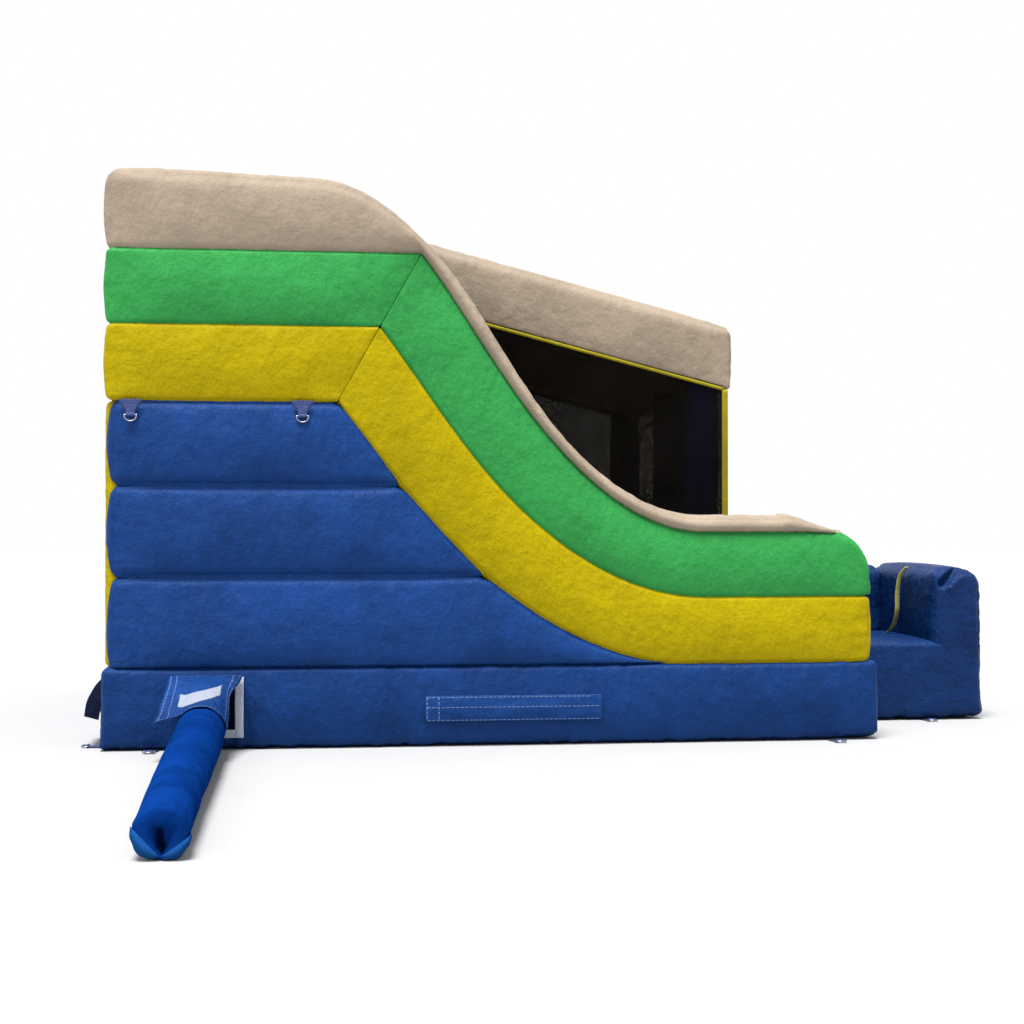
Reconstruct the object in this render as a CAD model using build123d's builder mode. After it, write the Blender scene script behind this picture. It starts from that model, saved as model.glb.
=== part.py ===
"""Inflatable bounce house with a side slide, a netted jumping area and an entrance platform.

Places are given by s, the distance from the rear face towards the entrance, n, the distance from the outer face of
the slide wall towards the house, and z, the height above the ground. The part's own frame has +X along s, +Y along n
and its origin on the ground under the middle of the main footprint.
"""

from build123d import *
from math import atan2, cos, hypot, radians, sin
import os

os.makedirs("parts", exist_ok=True)

# Driving dimensions, millimetres
LENGTH = 5800  # main footprint along s
WIDTH = 4880  # main footprint along n
BASE_H = 600  # height of the base course and jump floor
BASE_OUT = 25  # how far the base course stands proud of the walls
WALL_T = 320  # thickness of an inflated wall
LANE_W = 850  # width of the slide lane
HOUSE_L = 4900  # length of the jumping area with its walls
SKIN = 20  # skin of the hollow base chambers

ROOF_REAR_Z = 4300  # top of the roof beams at the rear
ROOF_FRONT_Z = 3320  # top of the roof beams at the front
ROOF_BEND_S = 1080  # where the roof starts to fall towards the front
BEAM_H = 530  # height of a roof beam
BEAM_W = 450  # width of a roof beam
COLUMN_D = 300  # diameter of a house column

DECK_Z = 2560  # top platform of the slide
DECK_END_S = 1500  # front edge of the top platform
SLAB_T = 400  # thickness of the platforms and of the slide bed
STEP_END_S = 7130  # front face of the entrance block
STEP_Z = 650  # top of the entrance platform
GUARD_Z = 1280  # top of the entrance walls

NET_T = 4  # netting panels
TRIM_T = 6  # thickness of the flat trims
TRIM_W = 45  # width of the flat trims
GAP = 2  # clearance between flat sheets

RING_R = 44  # centre-line radius of a D-ring
WIRE_R = 6  # radius of its wire
LOOP_R = 13  # outside radius of the webbing loop that holds it
LOOP_HOLE_R = 6.8  # inside radius of that loop

# Places worked out from them
LANE_N0 = WALL_T
INNER_N0 = LANE_N0 + LANE_W
INNER_N1 = INNER_N0 + WALL_T
FAR_N = WIDTH
REAR_T = 300
ROOF_SLOPE = (ROOF_REAR_Z - ROOF_FRONT_Z) / (HOUSE_L - ROOF_BEND_S)
CLIMB_N1 = 2400  # far side of the climbing ramp and of its landing
CLIMB_WALL_N1 = CLIMB_N1 + 200
LANDING_END_S = 1300
CLIMB_FOOT_S = 3300
DOOR_Z1 = 2250
COLUMN_S = HOUSE_L - 170  # centre line of the front columns
COLUMN_FAR_N = FAR_N - 160  # centre line of the far columns

# The seams of the slide walls: level from the rear to the kink, down through the bend, level again from the foot
DECK_SEAM = {"kink": (1680, DECK_Z), "bend": (2880, 1190), "foot": (4300, BASE_H)}
YELLOW_SEAM = {"kink": (1990, 3120), "bend": (3080, 1730), "foot": (4450, 1100)}
GREEN_SEAM = {"kink": (2300, 3670), "bend": (3280, 2280), "foot": (4450, 1590)}
CAP_LINE = {"kink": (2230, 3850), "bend": (3360, 2310), "foot": (4450, 1715)}
FALL = (0.6, -0.8)  # direction of the seams just below their kinks
GREEN_NOSE_R = 340  # rounded front corner of the green band
CAP_NOSE_R = 400  # rounded front corner of the cap
CAP_REAR_Z = 4260  # top of the cap at the rear
CAP_SHOULDER = (1550, CAP_REAR_Z - 60)  # where the cap's top starts to round down


def side_plane(n):
    """Sketch plane across the part at n, with x = s and y = z; extruding goes towards the slide's outer side."""
    return Plane((-LENGTH / 2, n - WIDTH / 2, 0), x_dir=(1, 0, 0), z_dir=(0, -1, 0))


def front_plane(s):
    """Sketch plane facing the entrance at s, with x = n and y = z; extruding goes towards the entrance."""
    return Plane((s - LENGTH / 2, -WIDTH / 2, 0), x_dir=(0, 1, 0), z_dir=(1, 0, 0))


def at(s, n, z):
    """The place (s, n, z) in the part's own frame."""
    return Vector(s - LENGTH / 2, n - WIDTH / 2, z)


def block(s, n, z, mode=Mode.ADD):
    """A box from its two limits along s, n and z."""
    with Locations(at(s[0], n[0], z[0])):
        Box(s[1] - s[0], n[1] - n[0], z[1] - z[0], align=(Align.MIN,) * 3, mode=mode)


def hollow_block(s, n, z):
    """A base chamber: a box with a skin all round and air inside."""
    block(s, n, z)
    block(
        (s[0] + SKIN, s[1] - SKIN),
        (n[0] + SKIN, n[1] - SKIN),
        (z[0] + SKIN, z[1] - SKIN),
        mode=Mode.SUBTRACT,
    )


def hollow_prism(plane, points, depth):
    """An air chamber with a flat convex outline, of the given depth along the plane's normal."""
    with BuildSketch(plane) as outline:
        with BuildLine():
            Polyline(*points, close=True)
        make_face()
    with BuildSketch(plane.offset(SKIN)) as air:
        with BuildLine():
            Polyline(*points, close=True)
        make_face()
        offset(amount=-SKIN, kind=Kind.INTERSECTION, mode=Mode.REPLACE)
    extrude(outline.sketch, amount=depth)
    extrude(air.sketch, amount=depth - 2 * SKIN, mode=Mode.SUBTRACT)


def roof_z(s):
    """Height of the roof beams' top at s."""
    return ROOF_REAR_Z - max(0, s - ROOF_BEND_S) * ROOF_SLOPE


def roof_points(s0, s1, top_drop, bottom_drop):
    """Corners of a strip of the roof between two drops below the beams' top line, from s0 to s1."""
    stops = [s for s in (s0, ROOF_BEND_S, s1) if s0 <= s <= s1]
    top = [(s, roof_z(s) - top_drop) for s in stops]
    bottom = [(s, roof_z(s) - bottom_drop) for s in reversed(stops)]
    return top + bottom


def roof_band(s0, s1, top_drop, bottom_drop):
    """Outline of such a strip."""
    Polyline(*roof_points(s0, s1, top_drop, bottom_drop), close=True)


def under_roof():
    """Cut away everything above the underside of the roof beams."""
    with BuildSketch(side_plane(WIDTH + 100)) as above:
        with BuildLine():
            roof_band(-100, LENGTH + 100, -3000, BEAM_H)
        make_face()
    extrude(above.sketch, amount=WIDTH + 200, mode=Mode.SUBTRACT)


def fall_curve(seam):
    """The falling part of a seam, from its kink to its foot."""
    return Spline(seam["kink"], seam["bend"], seam["foot"], tangents=[FALL, (1, 0)])


def deck_line(s0):
    """Deck seam from s0 to the front."""
    Line((s0, DECK_Z), DECK_SEAM["kink"])
    fall_curve(DECK_SEAM)
    Line(DECK_SEAM["foot"], (LENGTH, BASE_H))


def yellow_line(s0):
    """Seam between the yellow and green bands from s0 to the front."""
    Line((s0, YELLOW_SEAM["kink"][1]), YELLOW_SEAM["kink"])
    fall_curve(YELLOW_SEAM)
    Line(YELLOW_SEAM["foot"], (LENGTH, YELLOW_SEAM["foot"][1]))


def green_line(s0):
    """Seam between the green band and the cap from s0, round the nose, to the front."""
    nose_s = LENGTH - CAP_NOSE_R
    foot_z = GREEN_SEAM["foot"][1]
    Line((s0, GREEN_SEAM["kink"][1]), GREEN_SEAM["kink"])
    fall_curve(GREEN_SEAM)
    Line(GREEN_SEAM["foot"], (nose_s, foot_z))
    CenterArc((nose_s, foot_z - GREEN_NOSE_R), GREEN_NOSE_R, 0, 90)
    Line((nose_s + GREEN_NOSE_R, foot_z - GREEN_NOSE_R), (LENGTH, foot_z - GREEN_NOSE_R))


def cap_line(s0):
    """Top of the cap from s0, round the shoulder, down the slide and round the nose."""
    nose_s = LENGTH - CAP_NOSE_R
    foot_z = CAP_LINE["foot"][1]
    Line((s0, CAP_REAR_Z), CAP_SHOULDER)
    Spline(CAP_SHOULDER, CAP_LINE["kink"], CAP_LINE["bend"], CAP_LINE["foot"], tangents=[(1, -0.1), (1, 0)])
    Line(CAP_LINE["foot"], (nose_s, foot_z))
    CenterArc((nose_s, foot_z - CAP_NOSE_R), CAP_NOSE_R, 0, 90)
    Line((LENGTH, foot_z - CAP_NOSE_R), (LENGTH, GREEN_SEAM["foot"][1] - GREEN_NOSE_R))


def save(part, name):
    """Label a finished sub-part and write it as its own STEP file."""
    part.label = name
    export_step(part, f"parts/{name}.step")


# Base course, jump floor and entrance chambers, hollow like the air chambers they are
with BuildPart() as slide_base:
    hollow_block((-BASE_OUT, LENGTH + BASE_OUT), (-BASE_OUT, INNER_N1), (0, BASE_H))
save(slide_base.part, "slide_base")

with BuildPart() as jump_floor:
    hollow_block((-BASE_OUT, HOUSE_L), (INNER_N1, FAR_N + BASE_OUT), (0, BASE_H))
save(jump_floor.part, "jump_floor")

WALK_N1 = 2750
with BuildPart() as entrance_platform:
    hollow_block((HOUSE_L, LENGTH + BASE_OUT), (INNER_N1, WALK_N1), (0, STEP_Z))
save(entrance_platform.part, "entrance_platform")

with BuildPart() as entrance_step:
    hollow_block((LENGTH + BASE_OUT, STEP_END_S), (INNER_N0, WALK_N1), (0, STEP_Z))
save(entrance_step.part, "entrance_step")

# Upright fabric baffles inside the base chambers, which hold their tops and bottoms level
BAFFLE_T = 3
BAFFLE_GAP = 5
BAFFLE_PITCH = 450


def baffles(s, n, height):
    """A row of upright baffles across a hollow chamber, clear of its skin."""
    count = int((s[1] - s[0] - 2 * SKIN) / BAFFLE_PITCH)
    first = (s[0] + s[1] - (count - 1) * BAFFLE_PITCH) / 2
    inset = SKIN + BAFFLE_GAP
    for i in range(count):
        middle = first + i * BAFFLE_PITCH
        block(
            (middle - BAFFLE_T / 2, middle + BAFFLE_T / 2),
            (n[0] + inset, n[1] - inset),
            (inset, height - inset),
        )


with BuildPart() as floor_baffles:
    baffles((-BASE_OUT, LENGTH + BASE_OUT), (-BASE_OUT, INNER_N1), BASE_H)
    baffles((-BASE_OUT, HOUSE_L), (INNER_N1, FAR_N + BASE_OUT), BASE_H)
    baffles((LENGTH + BASE_OUT, STEP_END_S), (INNER_N0, WALK_N1), STEP_Z)
save(floor_baffles.part, "floor_baffles")

# Outer and inner slide walls, each of four coloured panels between the same seams. The inner wall's upper
# panels start in front of the crawl-through opening and stop under the roof beam.
OPENING_S1 = 1450
SIDES = (
    ("outer", 0, 0, 0),
    ("inner", INNER_N0, REAR_T, OPENING_S1),
)
for side, n0, low_s0, high_s0 in SIDES:
    with BuildPart() as blue_panel:
        with BuildSketch(side_plane(n0 + WALL_T)):
            with BuildLine():
                Line((low_s0, DECK_Z), DECK_SEAM["kink"])
                fall_curve(DECK_SEAM)
                Polyline(DECK_SEAM["foot"], (low_s0, BASE_H), (low_s0, DECK_Z))
            make_face()
        extrude(amount=WALL_T)
    save(blue_panel.part, f"{side}_wall_blue_panel")

    with BuildPart() as yellow_band:
        with BuildSketch(side_plane(n0 + WALL_T)):
            with BuildLine():
                deck_line(high_s0)
                Line((LENGTH, BASE_H), (LENGTH, YELLOW_SEAM["foot"][1]))
                yellow_line(high_s0)
                Line((high_s0, YELLOW_SEAM["kink"][1]), (high_s0, DECK_Z))
            make_face()
        extrude(amount=WALL_T)
        if side == "inner":
            under_roof()
    save(yellow_band.part, f"{side}_wall_yellow_band")

    with BuildPart() as green_band:
        with BuildSketch(side_plane(n0 + WALL_T)):
            with BuildLine():
                yellow_line(high_s0)
                Line(
                    (LENGTH, YELLOW_SEAM["foot"][1]),
                    (LENGTH, GREEN_SEAM["foot"][1] - GREEN_NOSE_R),
                )
                green_line(high_s0)
                Line((high_s0, GREEN_SEAM["kink"][1]), (high_s0, YELLOW_SEAM["kink"][1]))
            make_face()
        extrude(amount=WALL_T)
        if side == "inner":
            under_roof()
    save(green_band.part, f"{side}_wall_green_band")

    with BuildPart() as tan_cap:
        with BuildSketch(side_plane(n0 + WALL_T)):
            with BuildLine():
                green_line(high_s0)
                cap_line(high_s0)
                Line((high_s0, CAP_REAR_Z), (high_s0, GREEN_SEAM["kink"][1]))
            make_face()
        extrude(amount=WALL_T)
        if side == "inner":
            under_roof()
    save(tan_cap.part, f"{side}_wall_tan_cap")

# Slide lane: rear wall, top platform, bed and its removable liner
with BuildPart() as rear_wall:
    hollow_block((0, REAR_T), (LANE_N0, CLIMB_WALL_N1), (BASE_H, ROOF_REAR_Z - BEAM_H))
save(rear_wall.part, "rear_wall")

REAR_CAP_DROP = 100  # how far the cap's top is below the roof beams
with BuildPart() as rear_wall_cap:
    block((0, REAR_T), (LANE_N0, INNER_N0), (ROOF_REAR_Z - BEAM_H, ROOF_REAR_Z - REAR_CAP_DROP))
save(rear_wall_cap.part, "rear_wall_cap")

with BuildPart() as top_platform:
    hollow_block((REAR_T, DECK_END_S), (LANE_N0, INNER_N0), (DECK_Z - SLAB_T, DECK_Z))
save(top_platform.part, "top_platform")

BED_FOOT_Z = BASE_H + 40
LANE_CURVE = {"kink": (1680, DECK_Z), "bend": (2880, 1210), "foot": (4350, BED_FOOT_Z)}
BED_BACK_S = 2950  # where the sloping back of the bed meets the base course
with BuildPart() as slide_bed:
    with BuildSketch(side_plane(INNER_N0)):
        with BuildLine():
            Line((DECK_END_S, DECK_Z), LANE_CURVE["kink"])
            fall_curve(LANE_CURVE)
            Polyline(
                LANE_CURVE["foot"],
                (LENGTH, BED_FOOT_Z),
                (LENGTH, BASE_H),
                (BED_BACK_S, BASE_H),
                (DECK_END_S, DECK_Z - SLAB_T),
                (DECK_END_S, DECK_Z),
            )
        make_face()
    extrude(amount=LANE_W)
save(slide_bed.part, "slide_bed")

LINER_T = 10
LINER_INSET = 20
with BuildPart() as slide_liner:
    with BuildSketch(side_plane(INNER_N0 - LINER_INSET)):
        with BuildLine():
            Line((DECK_END_S, DECK_Z), LANE_CURVE["kink"])
            fall_curve(LANE_CURVE)
            Polyline(
                LANE_CURVE["foot"],
                (LENGTH - LINER_INSET, BED_FOOT_Z),
                (LENGTH - LINER_INSET, BED_FOOT_Z + LINER_T),
                (LANE_CURVE["foot"][0], BED_FOOT_Z + LINER_T),
            )
            raised = {name: (s, z + LINER_T) for name, (s, z) in LANE_CURVE.items()}
            fall_curve(raised)
            Polyline(raised["kink"], (DECK_END_S, DECK_Z + LINER_T), (DECK_END_S, DECK_Z))
        make_face()
    extrude(amount=LANE_W - 2 * LINER_INSET)
save(slide_liner.part, "slide_liner")

# Climb inside the house: landing, ramp, rungs, hand loops and side wall
with BuildPart() as landing_platform:
    hollow_block((REAR_T, LANDING_END_S), (INNER_N1, CLIMB_N1), (DECK_Z - SLAB_T, DECK_Z))
save(landing_platform.part, "landing_platform")

RAMP_FOOT_BACK_S = 2740
ramp_outline = (
    (LANDING_END_S, DECK_Z),
    (CLIMB_FOOT_S, BASE_H),
    (RAMP_FOOT_BACK_S, BASE_H),
    (LANDING_END_S, DECK_Z - SLAB_T),
)
with BuildPart() as climb_ramp:
    hollow_prism(side_plane(CLIMB_N1), ramp_outline, CLIMB_N1 - INNER_N1)
save(climb_ramp.part, "climb_ramp")

RAMP_RUN = CLIMB_FOOT_S - LANDING_END_S
RAMP_RISE = DECK_Z - BASE_H
RAMP_LENGTH = hypot(RAMP_RUN, RAMP_RISE)
RAMP_FALL = atan2(RAMP_RISE, RAMP_RUN)
ramp_plane = Plane(
    at((LANDING_END_S + CLIMB_FOOT_S) / 2, CLIMB_N1, (DECK_Z + BASE_H) / 2),
    x_dir=(cos(RAMP_FALL), 0, -sin(RAMP_FALL)),
    z_dir=(0, -1, 0),
)
RUNG_R = 80
RUNG_COUNT = 5
RUNG_PITCH = RAMP_LENGTH / (RUNG_COUNT + 1)
RUNG_INSET = 60
with BuildPart() as climb_rungs:
    with BuildSketch(ramp_plane.offset(RUNG_INSET)):
        with GridLocations(RUNG_PITCH, 0, RUNG_COUNT, 1):
            Circle(RUNG_R)
        with Locations((0, -RUNG_R)):
            Rectangle(RAMP_LENGTH, 2 * RUNG_R, mode=Mode.SUBTRACT)
    extrude(amount=CLIMB_N1 - INNER_N1 - 2 * RUNG_INSET)
save(climb_rungs.part, "climb_rungs")

HANDLE_R = 75
HANDLE_T = 8
HANDLE_W = 50
HANDLE_N = (INNER_N1 + 220, CLIMB_N1 - 220)
with BuildPart() as climb_handles:
    for n in HANDLE_N:
        with BuildSketch(ramp_plane.offset(CLIMB_N1 - n - HANDLE_W / 2)):
            with GridLocations(3 * RUNG_PITCH, 0, 2, 1):
                Circle(HANDLE_R)
                Circle(HANDLE_R - HANDLE_T, mode=Mode.SUBTRACT)
            with Locations((0, -HANDLE_R)):
                Rectangle(RAMP_LENGTH, 2 * HANDLE_R, mode=Mode.SUBTRACT)
        extrude(amount=HANDLE_W)
save(climb_handles.part, "climb_handles")

CLIMB_WALL_RISE = 560
climb_wall_outline = (
    (REAR_T, BASE_H),
    (CLIMB_FOOT_S, BASE_H),
    (CLIMB_FOOT_S, BASE_H + CLIMB_WALL_RISE),
    (LANDING_END_S, DECK_Z + CLIMB_WALL_RISE),
    (REAR_T, DECK_Z + CLIMB_WALL_RISE),
)
with BuildPart() as climb_side_wall:
    hollow_prism(side_plane(CLIMB_WALL_N1), climb_wall_outline, CLIMB_WALL_N1 - CLIMB_N1)
save(climb_side_wall.part, "climb_side_wall")

# House: low walls, columns, roof beams and canopy
LOW_T = 280
FAR_LOW_Z = 1300
FRONT_LOW_Z = 1150
REAR_LOW_Z = 1500
LOW_WALL_SET = 20  # how far the front low wall stands behind the front of the floor
JAMB_N = 2550  # centre line of the column beside the doorway
INNER_COLUMN_N = INNER_N0 + 170  # centre line of the column on the slide's inner wall
COLUMN_ROOM = COLUMN_D / 2 + 5  # from a column's centre line to the wall beside it
LOW_WALL_FRONT_S = HOUSE_L - LOW_WALL_SET
LOW_WALLS = (
    # limits along s and n, height of the top
    ((REAR_T + 10, COLUMN_S - COLUMN_ROOM), (FAR_N - LOW_T, FAR_N), FAR_LOW_Z),
    (
        (LOW_WALL_FRONT_S - LOW_T, LOW_WALL_FRONT_S),
        (JAMB_N + COLUMN_ROOM, COLUMN_FAR_N - COLUMN_ROOM),
        FRONT_LOW_Z,
    ),
    ((0, LOW_T), (CLIMB_WALL_N1, COLUMN_FAR_N - COLUMN_ROOM), REAR_LOW_Z),
)
with BuildPart() as house_low_walls:
    for s, n, top_z in LOW_WALLS:
        hollow_block(s, n, (BASE_H, top_z))
save(house_low_walls.part, "house_low_walls")

COLUMNS = (
    # s and n of the centre line, height of the foot
    (COLUMN_S, INNER_COLUMN_N, CAP_LINE["foot"][1]),
    (COLUMN_S, JAMB_N, BASE_H),
    (COLUMN_S, COLUMN_FAR_N, BASE_H),
    (HOUSE_L / 2, COLUMN_FAR_N, FAR_LOW_Z),
    (COLUMN_ROOM, COLUMN_FAR_N, BASE_H),
)
with BuildPart() as house_columns:
    for s, n, foot_z in COLUMNS:
        with Locations(at(s, n, foot_z)):
            Cylinder(COLUMN_D / 2, ROOF_REAR_Z - foot_z, align=(Align.CENTER, Align.CENTER, Align.MIN))
    under_roof()
save(house_columns.part, "house_columns")

SIDE_BEAMS = (
    ("near_roof_beam", INNER_N0),
    ("far_roof_beam", FAR_N - BEAM_W),
)
for name, n0 in SIDE_BEAMS:
    with BuildPart() as side_beam:
        with BuildSketch(side_plane(n0 + BEAM_W)):
            with BuildLine():
                roof_band(0, HOUSE_L, 0, BEAM_H)
            make_face()
        extrude(amount=BEAM_W)
    save(side_beam.part, name)

CROSS_BEAMS = (
    ("rear_roof_beam", 0),
    ("front_roof_beam", HOUSE_L - BEAM_W),
)
CROSS_BEAM_L = FAR_N - INNER_N0 - 2 * BEAM_W
for name, s0 in CROSS_BEAMS:
    with BuildPart() as cross_beam:
        hollow_prism(side_plane(FAR_N - BEAM_W), roof_points(s0, s0 + BEAM_W, 0, BEAM_H), CROSS_BEAM_L)
    save(cross_beam.part, name)

CANOPY_T = 8
CANOPY_DROP = 160
with BuildPart() as roof_canopy:
    with BuildSketch(side_plane(FAR_N - BEAM_W)):
        with BuildLine():
            roof_band(BEAM_W, HOUSE_L - BEAM_W, CANOPY_DROP, CANOPY_DROP + CANOPY_T)
        make_face()
    extrude(amount=CROSS_BEAM_L)
save(roof_canopy.part, "roof_canopy")

# Netting panels with their flat trims
NET_S0 = 2350  # where the inner wall's cap has dropped below the roof beam
NEAR_NET_N = INNER_N0 + 12
NEAR_NET_S1 = HOUSE_L - 15
NET_EDGE = 20  # from the far net's ends to the corners of the house
with BuildPart() as near_net:
    with BuildSketch(side_plane(NEAR_NET_N)):
        with BuildLine():
            Polyline(
                (NET_S0, BASE_H),
                (NEAR_NET_S1, BASE_H),
                (NEAR_NET_S1, roof_z(NEAR_NET_S1) - BEAM_H),
                (NET_S0, roof_z(NET_S0) - BEAM_H),
                close=True,
            )
        make_face()
        # the wall below it is cut away along the top of its cap
        with BuildLine():
            cap_line(0)
            Polyline(
                (LENGTH, GREEN_SEAM["foot"][1] - GREEN_NOSE_R),
                (LENGTH, 0),
                (0, 0),
                (0, CAP_REAR_Z),
            )
        make_face(mode=Mode.SUBTRACT)
    extrude(amount=NET_T)
save(near_net.part, "near_net")

NEAR_TRIM_S0 = 2760  # where the cap is a trim's width below the beam
near_trim_n = NEAR_NET_N - NET_T - GAP
with BuildPart() as near_net_trim:
    with BuildSketch(side_plane(near_trim_n)):
        with BuildLine():
            roof_band(NEAR_TRIM_S0, NEAR_NET_S1, BEAM_H, BEAM_H + TRIM_W)
        make_face()
        with BuildLine():
            Polyline(
                (NEAR_NET_S1 - TRIM_W, CAP_LINE["foot"][1] + GAP),
                (NEAR_NET_S1, CAP_LINE["foot"][1] + GAP),
                (NEAR_NET_S1, roof_z(NEAR_NET_S1) - BEAM_H),
                (NEAR_NET_S1 - TRIM_W, roof_z(NEAR_NET_S1 - TRIM_W) - BEAM_H),
                close=True,
            )
        make_face()
    extrude(amount=TRIM_T)
save(near_net_trim.part, "near_net_trim")

with BuildPart() as far_net:
    with BuildSketch(side_plane(FAR_N)):
        with BuildLine():
            Polyline(
                (NET_EDGE, FAR_LOW_Z + GAP),
                (HOUSE_L - NET_EDGE, FAR_LOW_Z + GAP),
                (HOUSE_L - NET_EDGE, roof_z(HOUSE_L - NET_EDGE) - BEAM_H),
                (ROOF_BEND_S, roof_z(ROOF_BEND_S) - BEAM_H),
                (NET_EDGE, roof_z(NET_EDGE) - BEAM_H),
                close=True,
            )
        make_face()
    extrude(amount=NET_T)
save(far_net.part, "far_net")

REAR_NET_Z1 = ROOF_REAR_Z - BEAM_H
CROSS_NET_N1 = FAR_N - 10  # far edge of the rear and front nets
rear_net_n = (CLIMB_WALL_N1 + GAP, CROSS_NET_N1)
with BuildPart() as rear_net:
    block((0, NET_T), rear_net_n, (REAR_LOW_Z + GAP, REAR_NET_Z1))
save(rear_net.part, "rear_net")

with BuildPart() as back_net_trims:
    with BuildSketch(side_plane(FAR_N + GAP + TRIM_T)):
        with BuildLine():
            roof_band(NET_EDGE, HOUSE_L - NET_EDGE, BEAM_H, BEAM_H + TRIM_W)
        make_face()
        for s0 in (NET_EDGE, HOUSE_L - NET_EDGE - TRIM_W):
            with BuildLine():
                Polyline(
                    (s0, FAR_LOW_Z),
                    (s0 + TRIM_W, FAR_LOW_Z),
                    (s0 + TRIM_W, roof_z(s0 + TRIM_W) - BEAM_H),
                    (s0, roof_z(s0) - BEAM_H),
                    close=True,
                )
            make_face()
        with Locations((HOUSE_L / 2, FAR_LOW_Z)):
            Rectangle(HOUSE_L - 2 * NET_EDGE, TRIM_W)
    extrude(amount=TRIM_T)
    with BuildSketch(front_plane(-GAP - TRIM_T)):
        with Locations((sum(rear_net_n) / 2, (REAR_LOW_Z + REAR_NET_Z1) / 2)):
            Rectangle(rear_net_n[1] - rear_net_n[0], REAR_NET_Z1 - REAR_LOW_Z)
            Rectangle(
                rear_net_n[1] - rear_net_n[0] - 2 * TRIM_W,
                REAR_NET_Z1 - REAR_LOW_Z - 2 * TRIM_W,
                mode=Mode.SUBTRACT,
            )
    extrude(amount=TRIM_T)
save(back_net_trims.part, "back_net_trims")

FRONT_NET_S = HOUSE_L - 18
FRONT_NET_Z1 = roof_z(FRONT_NET_S + NET_T) - BEAM_H
FRONT_NET_N0 = INNER_N1 + 5
DOOR_GAP = 10  # clearance round the net door
DOOR_SILL = 30  # from the entrance platform up to the net door
with BuildPart() as front_net:
    with BuildSketch(front_plane(FRONT_NET_S)):
        with BuildLine():
            Polyline(
                (FRONT_NET_N0, DOOR_Z1),
                (CLIMB_N1, DOOR_Z1),
                (CLIMB_N1, FRONT_LOW_Z + GAP),
                (CROSS_NET_N1, FRONT_LOW_Z + GAP),
                (CROSS_NET_N1, FRONT_NET_Z1),
                (FRONT_NET_N0, FRONT_NET_Z1),
                close=True,
            )
        make_face()
    extrude(amount=NET_T)
save(front_net.part, "front_net")

ARCH_R = 530
ARCH_Z1 = 2700
ARCH_N = (FRONT_NET_N0, FAR_N - 30)
with BuildPart() as front_arch_trim:
    with BuildSketch(front_plane(FRONT_NET_S + NET_T + GAP)):
        with Locations((sum(ARCH_N) / 2, 0)):
            RectangleRounded(ARCH_N[1] - ARCH_N[0], 2 * ARCH_Z1, ARCH_R)
            RectangleRounded(
                ARCH_N[1] - ARCH_N[0] - 2 * TRIM_W, 2 * (ARCH_Z1 - TRIM_W), ARCH_R - TRIM_W, mode=Mode.SUBTRACT
            )
        with Locations((WIDTH / 2, FRONT_LOW_Z)):
            Rectangle(2 * WIDTH, 20 * ARCH_Z1, align=(Align.CENTER, Align.MAX), mode=Mode.SUBTRACT)
    extrude(amount=TRIM_T)
save(front_arch_trim.part, "front_arch_trim")

# Net door, hung on the jamb column and opening into the house
with BuildPart() as net_door:
    block(
        (FRONT_NET_S, FRONT_NET_S + NET_T),
        (INNER_N1 + DOOR_GAP, CLIMB_N1 - DOOR_GAP),
        (STEP_Z + DOOR_SILL, DOOR_Z1 - DOOR_GAP),
    )
save(net_door.part, "net_door")

# Entrance walls and the grab strap on the front one
GUARD_S0 = 6700  # inner face of the front wall
with BuildPart() as entrance_walls:
    block((HOUSE_L, GUARD_S0), (CLIMB_N1, WALK_N1), (STEP_Z, GUARD_Z))
    block((GUARD_S0, STEP_END_S), (INNER_N0, WALK_N1), (STEP_Z, GUARD_Z))
save(entrance_walls.part, "entrance_walls")

STRAP_W = 50
STRAP_STAND_OFF = 45  # hand room behind the strap
STRAP_N0 = 1900
STRAP_Z = (STEP_Z + 80, GUARD_Z - 40)  # lower and upper end, where it is sewn to the wall
STRAP_RISE = 80  # how far up or down it takes to stand off
STRAP_SEW = 10  # height of the seam at each end
strap_s = GUARD_S0 - STRAP_STAND_OFF
with BuildPart() as entrance_strap:
    with BuildSketch(side_plane(STRAP_N0 + STRAP_W)):
        with BuildLine():
            Polyline(
                (GUARD_S0, STRAP_Z[1]),
                (strap_s, STRAP_Z[1] - STRAP_RISE),
                (strap_s, STRAP_Z[0] + STRAP_RISE),
                (GUARD_S0, STRAP_Z[0]),
                (GUARD_S0, STRAP_Z[0] + STRAP_SEW),
                (strap_s + TRIM_T, STRAP_Z[0] + STRAP_RISE + TRIM_T),
                (strap_s + TRIM_T, STRAP_Z[1] - STRAP_RISE - TRIM_T),
                (GUARD_S0, STRAP_Z[1] - STRAP_SEW),
                close=True,
            )
        make_face()
    extrude(amount=STRAP_W)
save(entrance_strap.part, "entrance_strap")

# Blower sleeve: a tapered air tube from the port in the base course to its folded end on the ground
SLEEVE_S = 730
SLEEVE_RINGS = (
    # n, height of the middle, radius
    (-BASE_OUT, 262, 165),
    (-900, 186, 170),
    (-2200, 163, 160),
    (-3500, 152, 150),
    (-3860, 128, 120),
)
SLEEVE_END_N = -3950
SLEEVE_END_Z = 110
SLEEVE_END_R = (105, 70)  # half width and half height of the flattened end
with BuildPart() as blower_sleeve:
    for n, middle_z, radius in SLEEVE_RINGS:
        with BuildSketch(side_plane(n)):
            with Locations((SLEEVE_S, middle_z)):
                Circle(radius)
    loft()
    n, middle_z, radius = SLEEVE_RINGS[-1]
    with BuildSketch(side_plane(n)):
        with Locations((SLEEVE_S, middle_z)):
            Circle(radius)
    with BuildSketch(side_plane(SLEEVE_END_N)):
        with Locations((SLEEVE_S, SLEEVE_END_Z)):
            Ellipse(*SLEEVE_END_R)
    loft()
save(blower_sleeve.part, "blower_sleeve")

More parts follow.
